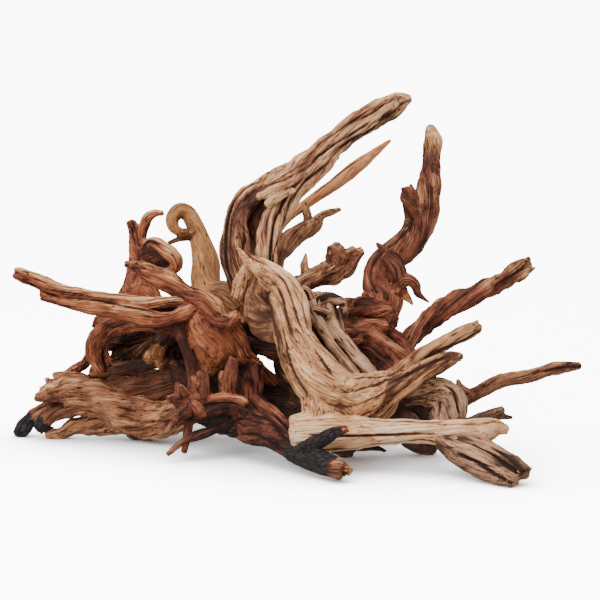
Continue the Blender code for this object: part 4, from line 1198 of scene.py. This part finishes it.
class Socket:
    """One output of a shader node, or a plain value, that adds Math nodes when it is reckoned with."""

    def __init__(self, nodes, link):
        self.nodes = nodes
        self.link = link

    def __add__(self, other):
        return self.nodes.math("ADD", self, other)

    def __radd__(self, other):
        return self.nodes.math("ADD", other, self)

    def __sub__(self, other):
        return self.nodes.math("SUBTRACT", self, other)

    def __rsub__(self, other):
        return self.nodes.math("SUBTRACT", other, self)

    def __mul__(self, other):
        return self.nodes.math("MULTIPLY", self, other)

    def __rmul__(self, other):
        return self.nodes.math("MULTIPLY", other, self)

    def __pow__(self, other):
        return self.nodes.math("POWER", self, other)


# Which of a Mix node's sockets take the share and the two colours, and which gives the mixed one.
MIX_INPUTS = (0, 6, 7)
MIX_OUTPUT = 2


class Nodes:
    """A material's node tree, written as expressions."""

    def __init__(self, material):
        material.use_nodes = True
        self.material = material
        self.tree = material.node_tree
        self.shader = self.tree.nodes["Principled BSDF"]

    def node(self, kind, settings=(), **inputs):
        """Adds a node, makes its settings, then gives its sockets their values or links."""
        node = self.tree.nodes.new(kind)
        for name, value in dict(settings).items():
            setattr(node, name, value)
        for name, value in inputs.items():
            self.give(self.socket(node.inputs, name), value)
        return node

    def socket(self, sockets, name):
        """The socket with a name, spaces written as _, that this form of the node uses."""
        plain = name.replace("_", " ").lower()
        return next(each for each in sockets if each.name.lower() == plain and each.enabled)

    def give(self, socket, value):
        """Sets a socket to a value, or links it."""
        if isinstance(value, Socket):
            self.tree.links.new(value.link, socket)
        else:
            socket.default_value = value

    def math(self, operation, first, second=0.0, clamp=False):
        """One Math node's result."""
        node = self.node("ShaderNodeMath", {"operation": operation, "use_clamp": clamp})
        self.give(node.inputs[0], first)
        self.give(node.inputs[1], second)
        return Socket(self, node.outputs[0])

    def clamp(self, value):
        """A value kept between 0 and 1."""
        return self.math("ADD", value, 0.0, clamp=True)

    def stored(self, name, kind="Fac"):
        """A number stored on the mesh, or a vector."""
        node = self.node("ShaderNodeAttribute", {"attribute_name": name})
        return Socket(self, node.outputs[kind])

    def stretched(self, vector, factors):
        """A vector with each part scaled by its own factor."""
        node = self.node("ShaderNodeVectorMath", {"operation": "MULTIPLY"})
        self.give(node.inputs[0], vector)
        self.give(node.inputs[1], factors)
        return Socket(self, node.outputs[0])

    def noise(self, vector, stretch, detail, distortion=0.0):
        """Smooth noise, about 0.5 on average, stretched by a factor for each axis."""
        stretched = self.stretched(vector, stretch)
        node = self.node(
            "ShaderNodeTexNoise", Vector=stretched, Scale=1.0, Detail=detail, Distortion=distortion
        )
        return Socket(self, node.outputs[0])

    def lines(self, value, sharpness):
        """Thin lines where a value passes its middle."""
        return self.clamp(1 - self.math("ABSOLUTE", value - 0.5) * sharpness)

    def ramp(self, value, stops, tints):
        """A colour for a value from 0 to 1, which passes each tint at its stop."""
        node = self.node("ShaderNodeValToRGB", Fac=value)
        points = node.color_ramp.elements
        while len(points) < len(stops):
            points.new(0.5)
        for point, place, tint in zip(points, stops, tints):
            point.position = place
            point.color = (*tint, 1)
        return Socket(self, node.outputs[0])

    def mix(self, share, first, second):
        """Two colours mixed."""
        node = self.node("ShaderNodeMix", {"data_type": "RGBA"})
        for place, value in zip(MIX_INPUTS, (share, first, second)):
            self.give(node.inputs[place], value)
        return Socket(self, node.outputs[MIX_OUTPUT])


# How each pattern is stretched: its repeats in a millimetre, twice across the grain, then along it.
FIBRES = (2.0, 2.0, 0.07)
STREAKS = (0.8, 0.8, 0.02)
PATCHES = (0.055, 0.055, 0.025)
STAINS = (0.2, 0.2, 0.11)
CRACKS = (0.36, 0.36, 0.01)
HAIRLINES = (0.75, 0.75, 0.018)
GRUB_HOLES = (0.13, 0.13, 0.045)
CHAR_CELLS = (0.22, 0.22, 0.1)

# How narrow cracks and hairlines are, how crisp a grub hole's rim is, and how wide a crazed line.
CRACK_NARROWNESS = 34
HAIR_NARROWNESS = 30
HOLE_CRISPNESS = 22
CRAZING_NARROWNESS = 7

# Cracks show on patches, and hairlines on stains, that are lighter than this, and how sharply.
CRACKED_FROM = 0.3
CRACKED_SHARPNESS = 5
HAIRY_FROM = 0.4
HAIRY_SHARPNESS = 6

# How strongly each pattern lightens or darkens the wood.
FIBRE_LIGHT = 0.75
STREAK_LIGHT = 0.6
CRACK_LIGHT = 0.6
HAIR_LIGHT = 0.3
RELIEF_LIGHT = 0.13
PATCH_LIGHT = 0.9
STAIN_LIGHT = 0.6
TONE_LIGHT = 0.8
SPLIT_LIGHT = 0.75
HOLE_LIGHT = 0.8

# Where a wood's colours lie, from dark to light, and how dark its deepest one is beside its grooves.
WOOD_STOPS = (0.0, 0.2, 0.52, 0.92)
BARE_STOPS = (0.1, 0.5, 0.85)
DEEPEST = 0.4

# Char's three shades, beside its own colour, and where they lie.
CHAR_STOPS = (0.15, 0.6, 1.0)
CHAR_SHADES = (0.35, 1.0, 3.2)

# How strongly crazed cells lighten char, and fibres from a certain strength on.
CELL_LIGHT = 0.5
CHAR_FIBRE_LIGHT = 0.9
CHAR_FIBRE_START = 0.3

# How far streaks and patches shift the edges of bared wood with its painted highlight, and of burnt wood
# with its painted shade, how much less of it shows than its marks say, and how sharp its edges are.
BARE_STREAKS = 1.4
BARE_PATCHES = 1.2
BARE_LESS = 0.2
BARE_SHARPNESS = 1.8
BURNT_STREAKS = 1.6
BURNT_LESS = 0.35
BURNT_SHARPNESS = 4

# How high each pattern stands in the fine relief, how deep a crack is in it, and how much smoother
# a fibre is than the gaps beside it.
FIBRE_RISE = 0.4
STREAK_RISE = 0.35
STAIN_RISE = 0.6
CELL_RISE = 0.5
CRACK_FALL = 0.9
FIBRE_GLOSS = 0.2

# The fine relief of the grain, in metres, and how matt the wood is.
BUMP_DEPTH = 0.9 * MM
BUMP_STRENGTH = 0.9
SPECULAR = 0.25


def wood_colours(kind):
    """The colours of a kind of wood: its grooves, its body and its crests."""
    colours = bpy.context.scene.driftwood_colours
    return [tuple(getattr(colours, f"{kind}_{part}")) for part in ("groove", "body", "crest")]


def scaled(tint, share):
    """A colour made darker or lighter."""
    return tuple(part * share for part in tint)


class Patterns(NamedTuple):
    """The patterns that follow the grain, each from 0 to 1."""

    fibre: Socket
    streak: Socket
    patch: Socket
    stain: Socket
    crack: Socket
    hair: Socket
    hole: Socket


def grain_patterns(nodes, grain_at, pits):
    """The patterns of bare wood. pits is the radius of a grub hole, beside their spacing."""
    fibre = nodes.noise(grain_at, FIBRES, detail=4)
    streak = nodes.noise(grain_at, STREAKS, detail=3, distortion=0.3)
    patch = nodes.noise(grain_at, PATCHES, detail=2)
    stain = nodes.noise(grain_at, STAINS, detail=5)
    crack = nodes.lines(nodes.noise(grain_at, CRACKS, detail=1, distortion=0.2), CRACK_NARROWNESS)
    crack = crack * nodes.clamp((patch - CRACKED_FROM) * CRACKED_SHARPNESS)
    hair = nodes.lines(nodes.noise(grain_at, HAIRLINES, detail=1, distortion=0.3), HAIR_NARROWNESS)
    hair = hair * nodes.clamp((stain - HAIRY_FROM) * HAIRY_SHARPNESS)
    grub = nodes.node("ShaderNodeTexVoronoi", Vector=nodes.stretched(grain_at, GRUB_HOLES), Scale=1.0)
    hole = nodes.clamp((pits - Socket(nodes, grub.outputs["Distance"])) * HOLE_CRISPNESS)
    return Patterns(fibre, streak, patch, stain, crack, hair, hole)


def lightness(nodes, seen):
    """How light the wood is, from its patterns, relief, tone and splits."""
    lines = (seen.fibre - 0.5) * FIBRE_LIGHT + (seen.streak - 0.5) * STREAK_LIGHT
    lines = lines - seen.crack * CRACK_LIGHT - seen.hair * HAIR_LIGHT
    light = 0.5 + nodes.stored("relief") * RELIEF_LIGHT + lines * nodes.stored("contrast")
    light = light + (seen.patch - 0.5) * PATCH_LIGHT + (seen.stain - 0.5) * STAIN_LIGHT
    light = light + nodes.stored("tone") * TONE_LIGHT
    # A split darkens the wood: partly its own colour, partly painted shade inside it.
    return nodes.clamp(light - nodes.stored("split") * SPLIT_LIGHT - seen.hole * HOLE_LIGHT)


def char_crazing(nodes, grain_at):
    """The cells that char cracks into: 0 on the lines between them."""
    cells = nodes.stretched(grain_at, CHAR_CELLS)
    cell = nodes.node("ShaderNodeTexVoronoi", {"feature": "DISTANCE_TO_EDGE"}, Vector=cells, Scale=1.0)
    return nodes.clamp(Socket(nodes, cell.outputs["Distance"]) * CRAZING_NARROWNESS)


def weathered_wood(kind, roughness=0.8, pits=0.09):
    """Bare weathered wood of one kind, coloured by its grain, relief, tone and char."""
    groove, body, crest = wood_colours(kind)
    nodes = Nodes(bpy.data.materials.new(f"{kind} wood"))
    shader = nodes.shader
    grain_at = nodes.stored("grain", "Vector")
    seen = grain_patterns(nodes, grain_at, pits)
    light = lightness(nodes, seen)
    tint = nodes.ramp(light, WOOD_STOPS, (scaled(groove, DEEPEST), groove, body, crest))

    bare_tint = nodes.ramp(light, BARE_STOPS, wood_colours("bare"))
    # The bare mark also holds the painted highlight on up-facing sides.
    bared_and_lit = nodes.stored("bare") + (seen.streak - 0.5) * BARE_STREAKS + (seen.patch - 0.5) * BARE_PATCHES
    tint = nodes.mix(nodes.clamp((bared_and_lit - BARE_LESS) * BARE_SHARPNESS), tint, bare_tint)

    crazing = char_crazing(nodes, grain_at)
    char = tuple(bpy.context.scene.driftwood_colours.char)
    char_light = crazing * CELL_LIGHT + (seen.fibre - CHAR_FIBRE_START) * CHAR_FIBRE_LIGHT
    char_tints = [scaled(char, shade) for shade in CHAR_SHADES]
    char_tint = nodes.ramp(nodes.clamp(char_light), CHAR_STOPS, char_tints)
    # The char mark also holds the painted shade of down-facing sides.
    burnt_and_shaded = nodes.stored("char") + (seen.streak - 0.5) * BURNT_STREAKS + (seen.patch - 0.5)
    burnt_and_shaded = nodes.clamp((burnt_and_shaded - BURNT_LESS) * BURNT_SHARPNESS)
    tint = nodes.mix(burnt_and_shaded, tint, char_tint)

    height = seen.fibre * FIBRE_RISE + seen.streak * STREAK_RISE + seen.stain * STAIN_RISE
    height = height - seen.crack * CRACK_FALL - seen.hole + burnt_and_shaded * crazing * CELL_RISE
    bump = nodes.node("ShaderNodeBump", Height=height, Strength=BUMP_STRENGTH, Distance=BUMP_DEPTH)
    nodes.give(shader.inputs["Base Color"], tint)
    nodes.give(shader.inputs["Roughness"], roughness - (seen.fibre - 0.5) * FIBRE_GLOSS)
    nodes.give(shader.inputs["Specular IOR Level"], SPECULAR)
    nodes.give(shader.inputs["Normal"], Socket(nodes, bump.outputs[0]))
    return nodes.material


def settle(piece, material):
    """Gives a finished piece its material and its place in the model."""
    piece.data.materials.clear()
    piece.data.materials.append(material)
    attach(piece, "root")
    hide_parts("driftwood")


def make_wood(name, limbs, kind, ruggedness=1.0, cracks=1.5, coarseness=1.0, **finish):
    """One piece of the wood: its limbs grown together, weathered and coloured.

    ruggedness is how high its relief stands, cracks how many random splits it has, and coarseness
    how widely its points are spaced, each beside the usual. finish goes to its material.
    """
    sizes = bpy.context.scene.driftwood_sizes
    piece = bpy.data.objects.new(name, rough_mesh(name, limbs))
    bpy.context.scene.collection.objects.link(piece)
    grown_together(piece, sizes.mesh_step * coarseness * (1.0))
    weathered(piece, limbs, sizes, ruggedness, cracks, seed=sum(map(ord, name)))
    settle(piece, weathered_wood(kind, **finish))


# How many sides and steps a splinter has, and between what shares of its width, depth and length
# the splinters vary.
SPLINTER_SIDES = 5
SPLINTER_STEPS = 2
SMALLEST_SPLINTER = (0.4, 0.3, 0.25)
LARGEST_SPLINTER = (1.2, 0.9, 0.9)

# Splinters on a torn end: the fewest, how many more for each millimetre of its radius, between what
# shares of the radius they stand out from its middle, how far along, and how they lean.
FEWEST_SPLINTERS = 4
MORE_SPLINTERS = 1.6
SPLINTER_PLACES = (0.35, 0.95)
SPLINTER_SETBACK = 0.4
SPLINTER_SPREAD = (-0.1, 0.22)
SPLINTER_LEAN = 0.14


def splinter_tree(material):
    """A node tree that stands one tapered splinter on each point, along the point's own way."""
    tree = bpy.data.node_groups.new("splinters", "GeometryNodeTree")
    face = tree.interface
    face.new_socket("Geometry", in_out="INPUT", socket_type="NodeSocketGeometry")
    for name in ("Length", "Width"):
        face.new_socket(name, in_out="INPUT", socket_type="NodeSocketFloat")
    face.new_socket("Seed", in_out="INPUT", socket_type="NodeSocketInt")
    face.new_socket("Geometry", in_out="OUTPUT", socket_type="NodeSocketGeometry")
    nodes, links = tree.nodes, tree.links
    given = nodes.new("NodeGroupInput")
    made = nodes.new("NodeGroupOutput")

    blade = nodes.new("GeometryNodeMeshCone")
    blade.inputs["Vertices"].default_value = SPLINTER_SIDES
    blade.inputs["Side Segments"].default_value = SPLINTER_STEPS
    blade.inputs["Radius Top"].default_value = 0.0
    links.new(given.outputs["Width"], blade.inputs["Radius Bottom"])
    links.new(given.outputs["Length"], blade.inputs["Depth"])

    way = nodes.new("GeometryNodeInputNamedAttribute")
    way.data_type = "FLOAT_VECTOR"
    way.inputs["Name"].default_value = "way"
    turn = nodes.new("FunctionNodeAlignRotationToVector")
    links.new(way.outputs["Attribute"], turn.inputs["Vector"])
    size = nodes.new("FunctionNodeRandomValue")
    size.data_type = "FLOAT_VECTOR"
    size.inputs[0].default_value = SMALLEST_SPLINTER
    size.inputs[1].default_value = LARGEST_SPLINTER
    links.new(given.outputs["Seed"], size.inputs["Seed"])

    points = nodes.new("GeometryNodeMeshToPoints")
    links.new(given.outputs["Geometry"], points.inputs["Mesh"])
    stand = nodes.new("GeometryNodeInstanceOnPoints")
    links.new(points.outputs["Points"], stand.inputs["Points"])
    links.new(blade.outputs["Mesh"], stand.inputs["Instance"])
    links.new(turn.outputs["Rotation"], stand.inputs["Rotation"])
    links.new(size.outputs[0], stand.inputs["Scale"])
    real = nodes.new("GeometryNodeRealizeInstances")
    links.new(stand.outputs["Instances"], real.inputs["Geometry"])
    paint = nodes.new("GeometryNodeSetMaterial")
    paint.inputs["Material"].default_value = material
    links.new(real.outputs["Geometry"], paint.inputs["Geometry"])
    links.new(paint.outputs["Geometry"], made.inputs["Geometry"])
    return tree


def splinter_seeds(limbs, draw):
    """Where splinters stand on the limbs' torn ends, in millimetres, and which way each one points."""
    places, ways = [], []
    for limb in limbs:
        rings, centres = limb_rings(limb)
        ends = []
        if limb.torn_start:
            ends.append((rings[2], centres[2], centres[0] - centres[3]))
        if limb.torn_end:
            ends.append((rings[-3], centres[-3], centres[-1] - centres[-4]))
        for rim, centre, way in ends:
            way = way / np.linalg.norm(way)
            radius = np.linalg.norm(rim - centre, axis=1).mean()
            for _ in range(round(FEWEST_SPLINTERS + radius * MORE_SPLINTERS)):
                out = rim[draw.randrange(len(rim))] - centre
                place = centre + out * draw.uniform(*SPLINTER_PLACES)
                places.append(place + way * draw.uniform(0, radius * SPLINTER_SETBACK))
                lean = np.array([draw.uniform(-1, 1) for _ in range(3)])
                spread = out / radius * draw.uniform(*SPLINTER_SPREAD)
                ways.append(way + spread + lean * SPLINTER_LEAN)
    return np.array(places), np.array(ways)


def make_splinters(name, limbs, kind):
    """The frayed fibres at the torn ends of some limbs, as one piece."""
    sizes = bpy.context.scene.driftwood_sizes
    places, ways = splinter_seeds(limbs, random.Random(name))
    mesh = bpy.data.meshes.new(name)
    mesh.from_pydata((places * MM).tolist(), [], [])
    add_attribute(mesh, "way", "POINT", ways)
    piece = bpy.data.objects.new(name, mesh)
    bpy.context.scene.collection.objects.link(piece)
    material = weathered_wood(kind)
    tree = splinter_tree(material)
    fray = piece.modifiers.new("splinters", "NODES")
    fray.node_group = tree
    wanted = {"Length": sizes.splinter_length, "Width": sizes.splinter_width, "Seed": len(places)}
    for item in tree.interface.items_tree:
        if item.in_out == "INPUT" and item.name in wanted:
            fray[item.identifier] = wanted[item.name]
    plain_mesh(piece)
    places = read(piece.data.vertices, "co", 3)
    places[:, 2] = np.maximum(places[:, 2], 0)
    piece.data.vertices.foreach_set("co", places.ravel())
    settle(piece, material)


def chosen(limbs, names):
    """Some of a group's limbs, by name."""
    return [limb for limb in limbs if limb.name in names.split()]


def others(limbs, names):
    """A group's limbs, apart from some."""
    return [limb for limb in limbs if limb.name not in names.split()]


# The limbs of a group that are a piece of their own.
BLOCK_LIMBS = "upper_leg lower_leg block block_wall under_brace under_shade right_splinter right_barb"
RIB_LIMBS = "left_rib right_rib back_rib"
UPRIGHT_LIMBS = "upright crust swirl side_knob thorn claw claw_twig"
SHADE_LIMBS = "shade_root shade_prop shade_wall shade_lobe hollow_back"
RAIL_LIMBS = "upper_rail lower_rail web"
BACK_LIMBS = "left_back_root right_back_root middle_back_root high_back_spur right_back_spur left_back_spur"
TORN_BRANCH_LIMBS = "torn_branch torn_knob torn_crest torn_spike"


class DRIFTWOOD_OT_pale_root(bpy.types.Operator):
    """Makes the bleached root in front, with its prongs, belly and log"""

    bl_idname = "driftwood.pale_root"
    bl_label = "Pale root"

    def execute(self, context):
        limbs = others(pale_root(), BLOCK_LIMBS)
        make_wood("pale_root", limbs, "bleached", ruggedness=0.75, cracks=1.6, coarseness=0.85, pits=0.05)
        return {"FINISHED"}


class DRIFTWOOD_OT_block(bpy.types.Operator):
    """Makes the cracked block and legs where the pale root ends on the right"""

    bl_idname = "driftwood.block"
    bl_label = "Block and legs"

    def execute(self, context):
        make_wood("block_and_legs", chosen(pale_root(), BLOCK_LIMBS), "grey", ruggedness=0.8, cracks=0.5)
        return {"FINISHED"}


class DRIFTWOOD_OT_grey_ribs(bpy.types.Operator):
    """Makes the grey ribs that climb from the pale root, and their gnarled crest"""

    bl_idname = "driftwood.grey_ribs"
    bl_label = "Grey ribs"

    def execute(self, context):
        make_wood("grey_ribs", chosen(grey_ribs(), RIB_LIMBS), "grey", ruggedness=1.6)
        make_wood("gnarled_crest", others(grey_ribs(), RIB_LIMBS), "grey", ruggedness=2.0, pits=0.42)
        return {"FINISHED"}


class DRIFTWOOD_OT_tall_branch(bpy.types.Operator):
    """Makes the tall streaked branch and its arm"""

    bl_idname = "driftwood.tall_branch"
    bl_label = "Tall branch"

    def execute(self, context):
        make_wood("tall_branch", tall_branch(), "streaked", ruggedness=1.0, cracks=2.5)
        return {"FINISHED"}


class DRIFTWOOD_OT_red_crown(bpy.types.Operator):
    """Makes the split branch on the left, and the ridge, belly and arch beside it"""

    bl_idname = "driftwood.red_crown"
    bl_label = "Red crown"

    def execute(self, context):
        make_wood("split_branch", chosen(red_crown(), RAIL_LIMBS), "red")
        make_wood("red_crown", others(red_crown(), RAIL_LIMBS), "red")
        return {"FINISHED"}


class DRIFTWOOD_OT_knot(bpy.types.Operator):
    """Makes the knot with its stubs and barbs, low in the middle"""

    bl_idname = "driftwood.knot"
    bl_label = "Knot"

    def execute(self, context):
        make_wood("knot", spider_knot(), "mahogany", ruggedness=1.6)
        return {"FINISHED"}


class DRIFTWOOD_OT_front_root(bpy.types.Operator):
    """Makes the charred root that reaches to the front"""

    bl_idname = "driftwood.front_root"
    bl_label = "Front root"

    def execute(self, context):
        make_wood("front_root", front_root(), "mahogany", ruggedness=0.8)
        return {"FINISHED"}


class DRIFTWOOD_OT_left_logs(bpy.types.Operator):
    """Makes the fibrous logs and charred tips low on the left"""

    bl_idname = "driftwood.left_logs"
    bl_label = "Left logs"

    def execute(self, context):
        logs = others(left_logs(), SHADE_LIMBS)
        roots = chosen(left_logs(), SHADE_LIMBS)
        make_wood("left_logs", logs, "tan", ruggedness=1.6, cracks=5.0, pits=0.12)
        # The roots in the hollow are shaded wood: painted shade.
        make_wood("left_shade_roots", roots, "shaded", ruggedness=1.6, cracks=4.0, coarseness=1.2)
        return {"FINISHED"}


class DRIFTWOOD_OT_curled_root(bpy.types.Operator):
    """Makes the curled root that rises behind the left logs"""

    bl_idname = "driftwood.curled_root"
    bl_label = "Curled root"

    def execute(self, context):
        make_wood("curled_root", curled_root(), "red", ruggedness=1.2)
        return {"FINISHED"}


class DRIFTWOOD_OT_olive_hook(bpy.types.Operator):
    """Makes the smooth olive hook with its beetle holes"""

    bl_idname = "driftwood.olive_hook"
    bl_label = "Olive hook"

    def execute(self, context):
        make_wood("olive_hook", olive_hook(), "olive", ruggedness=0.4, cracks=0.2, roughness=0.6, pits=0.13)
        return {"FINISHED"}


class DRIFTWOOD_OT_right_upright(bpy.types.Operator):
    """Makes the upright root on the right, the burl it stands on and the branch that reaches out"""

    bl_idname = "driftwood.right_upright"
    bl_label = "Right upright"

    def execute(self, context):
        limbs = right_upright()
        burl = others(limbs, UPRIGHT_LIMBS + " reaching_branch") + chosen(crown(), "right_drop")
        upright = chosen(limbs, UPRIGHT_LIMBS)
        branch = chosen(limbs, "reaching_branch")
        make_wood("upright", upright, "mahogany")
        make_wood("reaching_branch", branch, "mahogany", ruggedness=1.6)
        make_wood("burl", burl, "mahogany", ruggedness=1.5)
        return {"FINISHED"}


class DRIFTWOOD_OT_back_branches(bpy.types.Operator):
    """Makes the branches that stand up behind, and the low one on the right"""

    bl_idname = "driftwood.back_branches"
    bl_label = "Back branches"

    def execute(self, context):
        limbs = back_branches()
        make_wood("thin_branch", chosen(limbs, "thin_branch"), "orange", ruggedness=0.6, cracks=0.5)
        make_wood("short_branch", chosen(limbs, "short_branch bridge"), "streaked")
        make_wood("torn_branch", chosen(limbs, TORN_BRANCH_LIMBS), "streaked", ruggedness=1.4, cracks=3.0)
        make_wood("low_branch", chosen(limbs, "low_branch low_thorn"), "tan")
        return {"FINISHED"}


class DRIFTWOOD_OT_crown(bpy.types.Operator):
    """Makes the dark roots in the middle and behind, which hold the rest together"""

    bl_idname = "driftwood.crown"
    bl_label = "Crown"

    def execute(self, context):
        # The crown's roots are shaded wood, painted shade, since they lie inside the tangle.
        make_wood("crown", others(crown(), BACK_LIMBS + " right_drop"), "shaded", coarseness=1.9)
        make_wood("back_roots", chosen(crown(), BACK_LIMBS), "mahogany", coarseness=1.5)
        return {"FINISHED"}


class DRIFTWOOD_OT_splinters(bpy.types.Operator):
    """Makes the splinters at the torn ends"""

    bl_idname = "driftwood.splinters"
    bl_label = "Splinters"

    def execute(self, context):
        make_splinters("left_splinters", left_logs(), "tan")
        make_splinters("pale_splinters", pale_root(), "bleached")
        make_splinters("front_splinters", front_root() + back_branches(), "orange")
        return {"FINISHED"}


# The lamps: name, place and size in metres, and power in watts. They shine at LAMP_TARGET.
LAMPS = (
    ("ceiling", (-0.2, -0.3, 1.9), 2.4, 38),
    ("window", (-1.3, -1.5, 1.2), 1.2, 38),
    ("fill", (1.6, -1.2, 0.8), 1.2, 8),
)
LAMP_TARGET = (0, 0, 0.15)
AIR_LIGHT = 0.7

# The floor and the wall round it, in metres, and how brightly they glow for the camera.
FLOOR_REACH = 6.0
WALL_REACH = 5.0
WALL_HEIGHT = 5.0
WALL_SIDES = 48
GLOW = 9.0
FLOOR_ROUGHNESS = 0.9

# How far the wood's contact shadow, painted into the floor's glow, reaches on the floor, in metres, and how
# dark it is.
SHADOW_REACH = 0.12
SHADOW_STRENGTH = 3.0
SHADOW_SAMPLES = 8

SENSOR_WIDTH = 36


def glow_material(name):
    """The nodes of a plain white glow."""
    nodes = Nodes(bpy.data.materials.new(name))
    shader = nodes.shader
    nodes.give(shader.inputs["Base Color"], (*bpy.context.scene.driftwood_colours.floor, 1))
    nodes.give(shader.inputs["Roughness"], FLOOR_ROUGHNESS)
    nodes.give(shader.inputs["Emission Color"], (1, 1, 1, 1))
    nodes.give(shader.inputs["Emission Strength"], GLOW)
    return nodes


def make_floor():
    """A pale plain floor that the wood lies on, with a painted shadow: its glow is greyer where the wood
    stands close.
    """
    mesh = bpy.data.meshes.new("floor")
    ends = (-FLOOR_REACH, FLOOR_REACH)
    mesh.from_pydata([(x, y, 0) for x in ends for y in ends], [], [(0, 2, 3, 1)])
    nodes = glow_material("floor")
    # Painted shadow: the floor's glow is dimmed where ambient occlusion finds the wood close by.
    near = nodes.node("ShaderNodeAmbientOcclusion", {"samples": SHADOW_SAMPLES}, Distance=SHADOW_REACH)
    open_share = Socket(nodes, near.outputs["AO"])
    nodes.give(nodes.shader.inputs["Emission Color"], open_share**SHADOW_STRENGTH)
    mesh.materials.append(nodes.material)
    return bpy.data.objects.new("floor", mesh)


def make_backdrop():
    """A pale plain wall all round the floor."""
    mesh = bpy.data.meshes.new("backdrop")
    turns = [2 * math.pi * side / WALL_SIDES for side in range(WALL_SIDES)]
    points = [
        (WALL_REACH * math.cos(turn), WALL_REACH * math.sin(turn), height)
        for height in (0, WALL_HEIGHT)
        for turn in turns
    ]
    sides = [(side, (side + 1) % WALL_SIDES) for side in range(WALL_SIDES)]
    faces = [(side, after, after + WALL_SIDES, side + WALL_SIDES) for side, after in sides]
    mesh.from_pydata(points, [], faces)
    mesh.materials.append(glow_material("backdrop").material)
    return bpy.data.objects.new("backdrop", mesh)


def seen_only(thing):
    """Lets the camera see a thing, but keeps its glow off the wood."""
    thing.visible_diffuse = False
    thing.visible_glossy = False
    bpy.context.scene.collection.objects.link(thing)


def make_lamp(name, place, size, power):
    """A square lamp that shines at the wood's middle."""
    lamp = bpy.data.lights.new(name, "AREA")
    lamp.size = size
    lamp.energy = power
    held = bpy.data.objects.new(name, lamp)
    held.location = place
    held.rotation_euler = (Vector(LAMP_TARGET) - Vector(place)).to_track_quat("-Z", "Y").to_euler()
    bpy.context.scene.collection.objects.link(held)
    return held


def make_camera():
    """The camera at the photo's eye: it faces the sheet's middle."""
    lens = bpy.data.cameras.new("eye")
    lens.sensor_width = SENSOR_WIDTH
    lens.lens = lens.sensor_width * EYE_DISTANCE / FRAME_WIDTH
    eye = bpy.data.objects.new("eye", lens)
    target = Vector(on_sheet(np.zeros(1), np.full(1, SIGHT_HEIGHT), np.zeros(1))[0]) * MM
    sight = Vector((0, math.cos(EYE_TILT), -math.sin(EYE_TILT)))
    eye.location = target - sight * EYE_DISTANCE * MM
    eye.rotation_euler = sight.to_track_quat("-Z", "Y").to_euler()
    bpy.context.scene.collection.objects.link(eye)
    bpy.context.scene.camera = eye


class DRIFTWOOD_OT_stage(bpy.types.Operator):
    """Sets out the floor, the lamps and the camera"""

    bl_idname = "driftwood.stage"
    bl_label = "Stage"

    def execute(self, context):
        floor = make_floor()
        backdrop = make_backdrop()
        seen_only(floor)
        seen_only(backdrop)
        backdrop.visible_shadow = False
        lamps = [make_lamp(*lamp) for lamp in LAMPS]
        world = bpy.data.worlds.new("studio")
        world.use_nodes = True
        air = world.node_tree.nodes["Background"]
        air.inputs["Color"].default_value = (1, 1, 1, 1)
        air.inputs["Strength"].default_value = AIR_LIGHT
        context.scene.world = world
        make_camera()
        return {"FINISHED"}


OPERATORS = (
    DRIFTWOOD_OT_pale_root,
    DRIFTWOOD_OT_block,
    DRIFTWOOD_OT_grey_ribs,
    DRIFTWOOD_OT_tall_branch,
    DRIFTWOOD_OT_red_crown,
    DRIFTWOOD_OT_knot,
    DRIFTWOOD_OT_front_root,
    DRIFTWOOD_OT_left_logs,
    DRIFTWOOD_OT_curled_root,
    DRIFTWOOD_OT_olive_hook,
    DRIFTWOOD_OT_right_upright,
    DRIFTWOOD_OT_back_branches,
    DRIFTWOOD_OT_crown,
    DRIFTWOOD_OT_splinters,
    DRIFTWOOD_OT_stage,
)


class DRIFTWOOD_PT_panel(bpy.types.Panel):
    """Lists the driftwood's operators"""

    bl_label = "Driftwood"
    bl_category = "Driftwood"
    bl_space_type = "VIEW_3D"
    bl_region_type = "UI"

    def draw(self, context):
        for operator in OPERATORS:
            self.layout.operator(operator.bl_idname)


CLASSES = (DriftwoodSizes, DriftwoodColours, *OPERATORS, DRIFTWOOD_PT_panel)


def register():
    for each in CLASSES:
        bpy.utils.register_class(each)
    bpy.types.Scene.driftwood_sizes = bpy.props.PointerProperty(type=DriftwoodSizes)
    bpy.types.Scene.driftwood_colours = bpy.props.PointerProperty(type=DriftwoodColours)


def unregister():
    del bpy.types.Scene.driftwood_colours
    del bpy.types.Scene.driftwood_sizes
    for each in reversed(CLASSES):
        bpy.utils.unregister_class(each)


def main():
    """Makes the wood and its stage in order."""
    register()
    for operator in OPERATORS:
        make = getattr(bpy.ops.driftwood, operator.bl_idname.split(".")[1])
        make()


if __name__ == "__main__":
    main()
